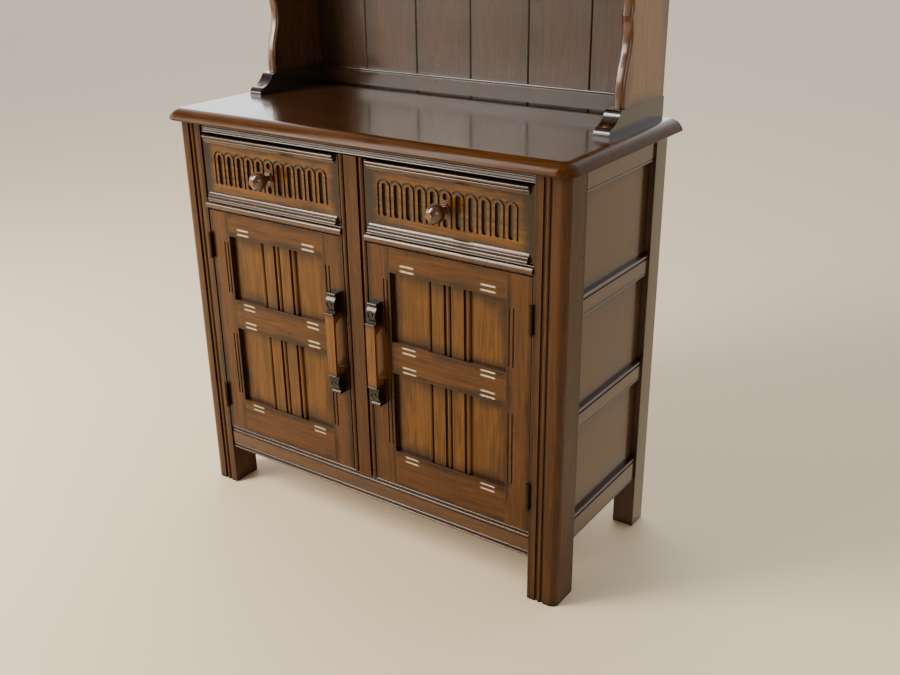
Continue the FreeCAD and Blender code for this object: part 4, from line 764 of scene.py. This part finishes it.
@dataclass
class Door:
    """A framed door with two moulded panels and a bridge handle."""

    joiner: Joiner
    side: str
    ease_mm: float = 0.8

    def build(self) -> None:
        """Dresses the door's frame, panels, handle and hinge leaves."""
        name = f"{self.side}_door"
        for node in ("hinge_stile", "lock_stile"):
            self.joiner.dress(f"{name}_{node}", STILE_OAK, Grain.UPRIGHT, "frame_oak", self.ease_mm)
        self.joiner.dress(f"{name}_rails", DOOR_RAIL_OAK, Grain.ACROSS, "frame_oak", self.ease_mm)
        for node in ("upper_panel", "lower_panel"):
            self.joiner.dress(f"{name}_{node}", PANEL_OAK, Grain.UPRIGHT, "panel_oak", self.ease_mm)
        self.joiner.dress(f"{name}_handle", HANDLE_OAK, Grain.UPRIGHT, "frame_oak", self.ease_mm)
        self.joiner.plate(f"{name}_hinge_leaves", BRONZED_IRON, "hinge_iron")


@dataclass
class FootScrew:
    """A slotted round-headed screw through a foot of the rack, leaning square to the foot's slope.

    Angles are in degrees.
    """

    seat_mm: tuple[float, float, float] = (414.5, 23.5, 879.2)
    lean: float = 19.78
    head_mm: float = 13.0
    head_height_mm: float = 4.0
    rim_height_mm: float = 1.6
    shank_mm: float = 5.0
    length_mm: float = 31.0
    slot_mm: float = 1.7
    slot_depth_mm: float = 1.9
    dome_turn: float = 80.0
    dome_steps: int = 5
    sides: int = 40
    smooth_angle: float = 35.0

    def model(self) -> bpy.types.Object:
        """Models the screw at the origin, with the underside of its head at zero height.

        Returns:
            The screw.
        """
        radius = self.head_mm / 2
        bpy.ops.object.select_all(action="DESELECT")
        bpy.ops.mesh.primitive_cylinder_add(vertices=self.sides, radius=radius * MM,
                                            depth=self.rim_height_mm * MM,
                                            location=(0, 0, self.rim_height_mm / 2 * MM))
        screw = bpy.context.object
        bpy.ops.object.transform_apply(location=True)
        self._pick_cap(screw, top=True)
        rise = self.head_height_mm - self.rim_height_mm
        step_turn = math.radians(self.dome_turn) / self.dome_steps
        shrink_before = 1.0
        for step in range(1, self.dome_steps + 1):
            turn = step * step_turn
            lift = rise * (math.sin(turn) - math.sin(turn - step_turn))
            shrink = math.cos(turn)
            bpy.ops.mesh.extrude_region_move(TRANSFORM_OT_translate={"value": (0, 0, lift * MM)})
            bpy.ops.transform.resize(value=(shrink / shrink_before, shrink / shrink_before, 1))
            shrink_before = shrink
        bpy.ops.object.mode_set(mode="OBJECT")
        self._pick_cap(screw, top=False)
        bpy.ops.mesh.inset(thickness=(radius - self.shank_mm / 2) * MM)
        bpy.ops.mesh.extrude_region_move(TRANSFORM_OT_translate={"value": (0, 0, -self.length_mm * MM)})
        bpy.ops.object.mode_set(mode="OBJECT")
        self._cut_slot(screw)
        return screw

    def _pick_cap(self, screw: bpy.types.Object, top: bool) -> None:
        """Opens the screw for editing with its upper or lower end face picked.

        Args:
            screw: The screw.
            top: Whether the upper end is picked.
        """
        only(screw)
        bpy.ops.object.mode_set(mode="EDIT")
        bpy.ops.mesh.select_mode(type="FACE")
        bpy.ops.mesh.select_all(action="DESELECT")
        bpy.ops.object.mode_set(mode="OBJECT")
        for polygon in screw.data.polygons:
            polygon.select = polygon.normal.z > FACING if top else polygon.normal.z < -FACING
        bpy.ops.object.mode_set(mode="EDIT")

    def _cut_slot(self, screw: bpy.types.Object) -> None:
        """Saws the slot across the head.

        Args:
            screw: The screw.
        """
        bpy.ops.object.select_all(action="DESELECT")
        middle = self.head_height_mm - self.slot_depth_mm + self.head_height_mm / 2
        bpy.ops.mesh.primitive_cube_add(size=1, location=(0, 0, middle * MM))
        blade = bpy.context.object
        blade.scale = (2 * self.head_mm * MM, self.slot_mm * MM, self.head_height_mm * MM)
        saw = screw.modifiers.new("slot", "BOOLEAN")
        saw.operation = "DIFFERENCE"
        saw.object = blade
        only(screw)
        bpy.ops.object.modifier_apply(modifier=saw.name)
        bpy.data.objects.remove(blade)
        bpy.ops.object.shade_smooth_by_angle(angle=math.radians(self.smooth_angle))

    def place(self, screw: bpy.types.Object, side: int, turn: float) -> None:
        """Moves a screw to its seat, turned about its own axis, with its place in its mesh.

        Args:
            screw: The screw.
            side: -1 for the left foot and 1 for the right one.
            turn: The angle of the slot.
        """
        x, y, z = self.seat_mm
        seat = Matrix.Translation(Vector((side * x, y, z)) * MM)
        lean = Matrix.Rotation(math.radians(self.lean), 4, "X")
        screw.data.transform(seat @ lean @ Matrix.Rotation(math.radians(turn), 4, "Z"))


@dataclass
class Rack:
    """The plate rack on the worktop.

    A face of a side is flat when its normal points sideways more than the flat, and one of its scrolled
    front when its normal points forward more than the scroll. The slots' turns are in degrees.
    """

    joiner: Joiner
    ease_mm: float = 0.9
    board_ease_mm: float = 0.6
    nose_mm: float = 7.0
    nose_steps: int = 4
    flat: float = 0.99
    scroll: float = 0.2
    screw: FootScrew = field(default_factory=FootScrew)
    left_slot_turn: float = 35.0
    right_slot_turn: float = -20.0

    def build(self) -> None:
        """Dresses every piece of the rack."""
        for side in ("left", "right"):
            self._side(f"rack_{side}_side")
            self.joiner.dress(f"rack_{side}_foot", FOOT_OAK, Grain.DEEP, "frame_oak", self.ease_mm)
        self.joiner.dress("rack_back_boards", BOARD_OAK, Grain.UPRIGHT, "frame_oak", self.board_ease_mm)
        for node in ("rack_back_rail", "rack_lower_shelf", "rack_upper_shelf", "rack_frieze", "rack_top"):
            self.joiner.dress(node, RACK_OAK, Grain.ACROSS, "frame_oak", self.ease_mm)
        self._screws()

    def _side(self, node: str) -> None:
        """Dresses a shaped side, whose scrolled front edge is rounded over.

        Args:
            node: The name of the node.
        """
        for piece in self.joiner.boards(node):
            self._pick_front(piece)
            bpy.ops.mesh.bevel(offset=self.nose_mm * MM, segments=self.nose_steps, clamp_overlap=False)
            bpy.ops.object.mode_set(mode="OBJECT")
            self.joiner.ease(piece, self.ease_mm)
            self.joiner.measure(piece)
            scroll_oak = self.joiner.finishes.oak(SCROLL_OAK, Grain.UPRIGHT)
            self.joiner.hand_over(piece, node, scroll_oak, "frame_oak")
            # The outer faces get the lighter finish, which is painted light.
            self.joiner.repaint([piece], LIT_RACK_SIDE_OAK, Grain.UPRIGHT, looks_outward)

    def _pick_front(self, piece: bpy.types.Object) -> None:
        """Opens a side for editing with the two long edges of its scrolled front picked.

        Args:
            piece: The side.
        """
        only(piece)
        bpy.ops.object.mode_set(mode="EDIT")
        bpy.ops.mesh.select_mode(type="EDGE")
        bpy.ops.mesh.select_all(action="DESELECT")
        bpy.ops.object.mode_set(mode="OBJECT")
        flat_edges: set[tuple[int, int]] = set()
        scroll_edges: set[tuple[int, int]] = set()
        for polygon in piece.data.polygons:
            if abs(polygon.normal.x) > self.flat:
                flat_edges.update(polygon.edge_keys)
            elif polygon.normal.y < -self.scroll:
                scroll_edges.update(polygon.edge_keys)
        front_edges = flat_edges & scroll_edges
        for edge in piece.data.edges:
            edge.select = edge.key in front_edges
        bpy.ops.object.mode_set(mode="EDIT")

    def _screws(self) -> None:
        """Models the screw of a foot once and drives a copy into each foot."""
        first = self.screw.model()
        first.name = "rack_foot_screw_left"
        second = bpy.data.objects.new("rack_foot_screw_right", first.data.copy())
        bpy.context.scene.collection.objects.link(second)
        brass = self.joiner.finishes.metal(AGED_BRASS)
        for piece, side, turn in ((first, -1, self.left_slot_turn), (second, 1, self.right_slot_turn)):
            self.screw.place(piece, side, turn)
            self.joiner.hand_over(piece, "rack_foot_screws", brass, "brass")


@dataclass(frozen=True)
class Lamp:
    """A soft lamp that only its light and its reflections show."""

    name: str
    spot: tuple[float, float, float]
    size: tuple[float, float]
    watts: float
    target: tuple[float, float, float] = (0.0, 0.0, 0.9)

    def hang(self, colour: str) -> None:
        """Hangs the lamp at its spot, facing its target.

        Args:
            colour: The colour of its light.
        """
        lamp = bpy.data.lights.new(f"{self.name}_lamp", "AREA")
        lamp.shape = "RECTANGLE"
        lamp.size, lamp.size_y = self.size
        lamp.energy = self.watts
        lamp.color = linear(colour)[:3]
        holder = bpy.data.objects.new(f"{self.name}_lamp", lamp)
        holder.visible_camera = False
        holder.location = self.spot
        holder.rotation_euler = (Vector(self.target) - Vector(self.spot)).to_track_quat("-Z", "Y").to_euler()
        bpy.context.scene.collection.objects.link(holder)


# The key gives the front its light, the windows stretch the lights along its mouldings, the fill lifts the
# right side, and the last lamp lifts the left side.
LAMPS = (
    Lamp("key", spot=(-1.8, -2.1, 3.0), size=(1.1, 2.4), watts=180.0, target=(0.1, -0.2, 0.65)),
    Lamp("high_window", spot=(-2.6, -3.5, 2.2), size=(2.6, 1.3), watts=120.0),
    Lamp("low_window", spot=(-2.6, -3.5, 0.75), size=(2.6, 1.4), watts=14.0),
    Lamp("fill", spot=(3.0, -2.2, 1.9), size=(2.2, 2.0), watts=30.0),
    Lamp("left", spot=(-2.4, -1.0, 1.3), size=(1.2, 1.2), watts=26.0, target=(-0.3, -0.2, 0.5)),
)


@dataclass
class Studio:
    """A pale floor, soft light and the photograph's camera.

    The turns and the width of the view are in degrees. A span is where a change of brightness starts and
    where it ends: backward for the walls, and toward the glow for the glow.
    """

    camera_at: tuple[float, float, float] = (1.2192, -1.6148, 1.2529)
    camera_turn: tuple[float, float, float] = (66.9144, 0.7010, 34.6097)
    view_width: float = 47.0154
    floor_half: float = 30.0
    floor_colour: str = "#dcc8a6"
    floor_roughness: float = 0.7
    lamp_colour: str = "#fff8ec"
    room_colour: str = "#f6f7f8"
    room_front: float = 0.15
    room_back: float = 1.3
    room_span: tuple[float, float] = (-0.4, 0.5)
    glow: float = 2.4
    glow_from: tuple[float, float, float] = (-0.58, 0.79, 0.2)
    glow_span: tuple[float, float] = (0.6, 1.0)

    def build(self) -> None:
        """Sets up the floor, the light and the camera."""
        self._floor()
        self._room()
        for lamp in LAMPS:
            lamp.hang(self.lamp_colour)
        self._camera()

    def _floor(self) -> None:
        """Lays a large matt floor."""
        bpy.ops.object.select_all(action="DESELECT")
        bpy.ops.mesh.primitive_plane_add(size=2 * self.floor_half)
        floor = bpy.context.object
        floor.name = "studio_floor"
        material, tree = new_material("pale_paper")
        shader = add_node(tree, "BsdfPrincipled", None, Base_Color=linear(self.floor_colour),
                          Roughness=self.floor_roughness)
        add_node(tree, "OutputMaterial", None, Surface=shader.outputs[0])
        floor.data.materials.append(material)

    def _room(self) -> None:
        """Surrounds the dresser with a pale room, dim in front of it and brightest behind its left end."""
        world = bpy.data.worlds.new("pale_room")
        world.use_nodes = True
        tree = world.node_tree
        tree.nodes.clear()
        direction = add_node(tree, "TexCoord").outputs["Generated"]
        backward = add_node(tree, "SeparateXYZ", None, Vector=direction).outputs[1]
        smooth = {"interpolation_type": "SMOOTHSTEP"}
        walls = add_node(tree, "MapRange", smooth, in_0=backward, in_1=self.room_span[0],
                         in_2=self.room_span[1], in_3=self.room_front, in_4=self.room_back).outputs[0]
        toward = add_node(tree, "VectorMath", {"operation": "DOT_PRODUCT"}, in_0=direction,
                          in_1=self.glow_from).outputs["Value"]
        glow = add_node(tree, "MapRange", smooth, in_0=toward, in_1=self.glow_span[0], in_2=self.glow_span[1],
                        in_3=0.0, in_4=self.glow).outputs[0]
        strength = add_node(tree, "Math", {"operation": "ADD"}, in_0=walls, in_1=glow).outputs[0]
        room = add_node(tree, "Background", None, Color=linear(self.room_colour), Strength=strength)
        add_node(tree, "OutputWorld", None, Surface=room.outputs[0])
        bpy.context.scene.world = world

    def _camera(self) -> None:
        """Sets the camera where the photograph was taken from."""
        lens = bpy.data.cameras.new("photo_camera")
        lens.sensor_fit = "HORIZONTAL"
        lens.angle = math.radians(self.view_width)
        camera = bpy.data.objects.new("photo_camera", lens)
        camera.location = self.camera_at
        camera.rotation_euler = Euler([math.radians(turn) for turn in self.camera_turn], "XYZ")
        bpy.context.scene.collection.objects.link(camera)
        bpy.context.scene.camera = camera


def main() -> None:
    """Builds the dresser's looks and the studio round it."""
    logging.basicConfig(level=logging.INFO)
    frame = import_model()
    joiner = Joiner(frame)
    Studio().build()
    Cupboard(joiner).build()
    for side in ("left", "right"):
        Drawer(joiner, side).build()
        Door(joiner, side).build()
    Rack(joiner).build()


if __name__ == "__main__":
    main()
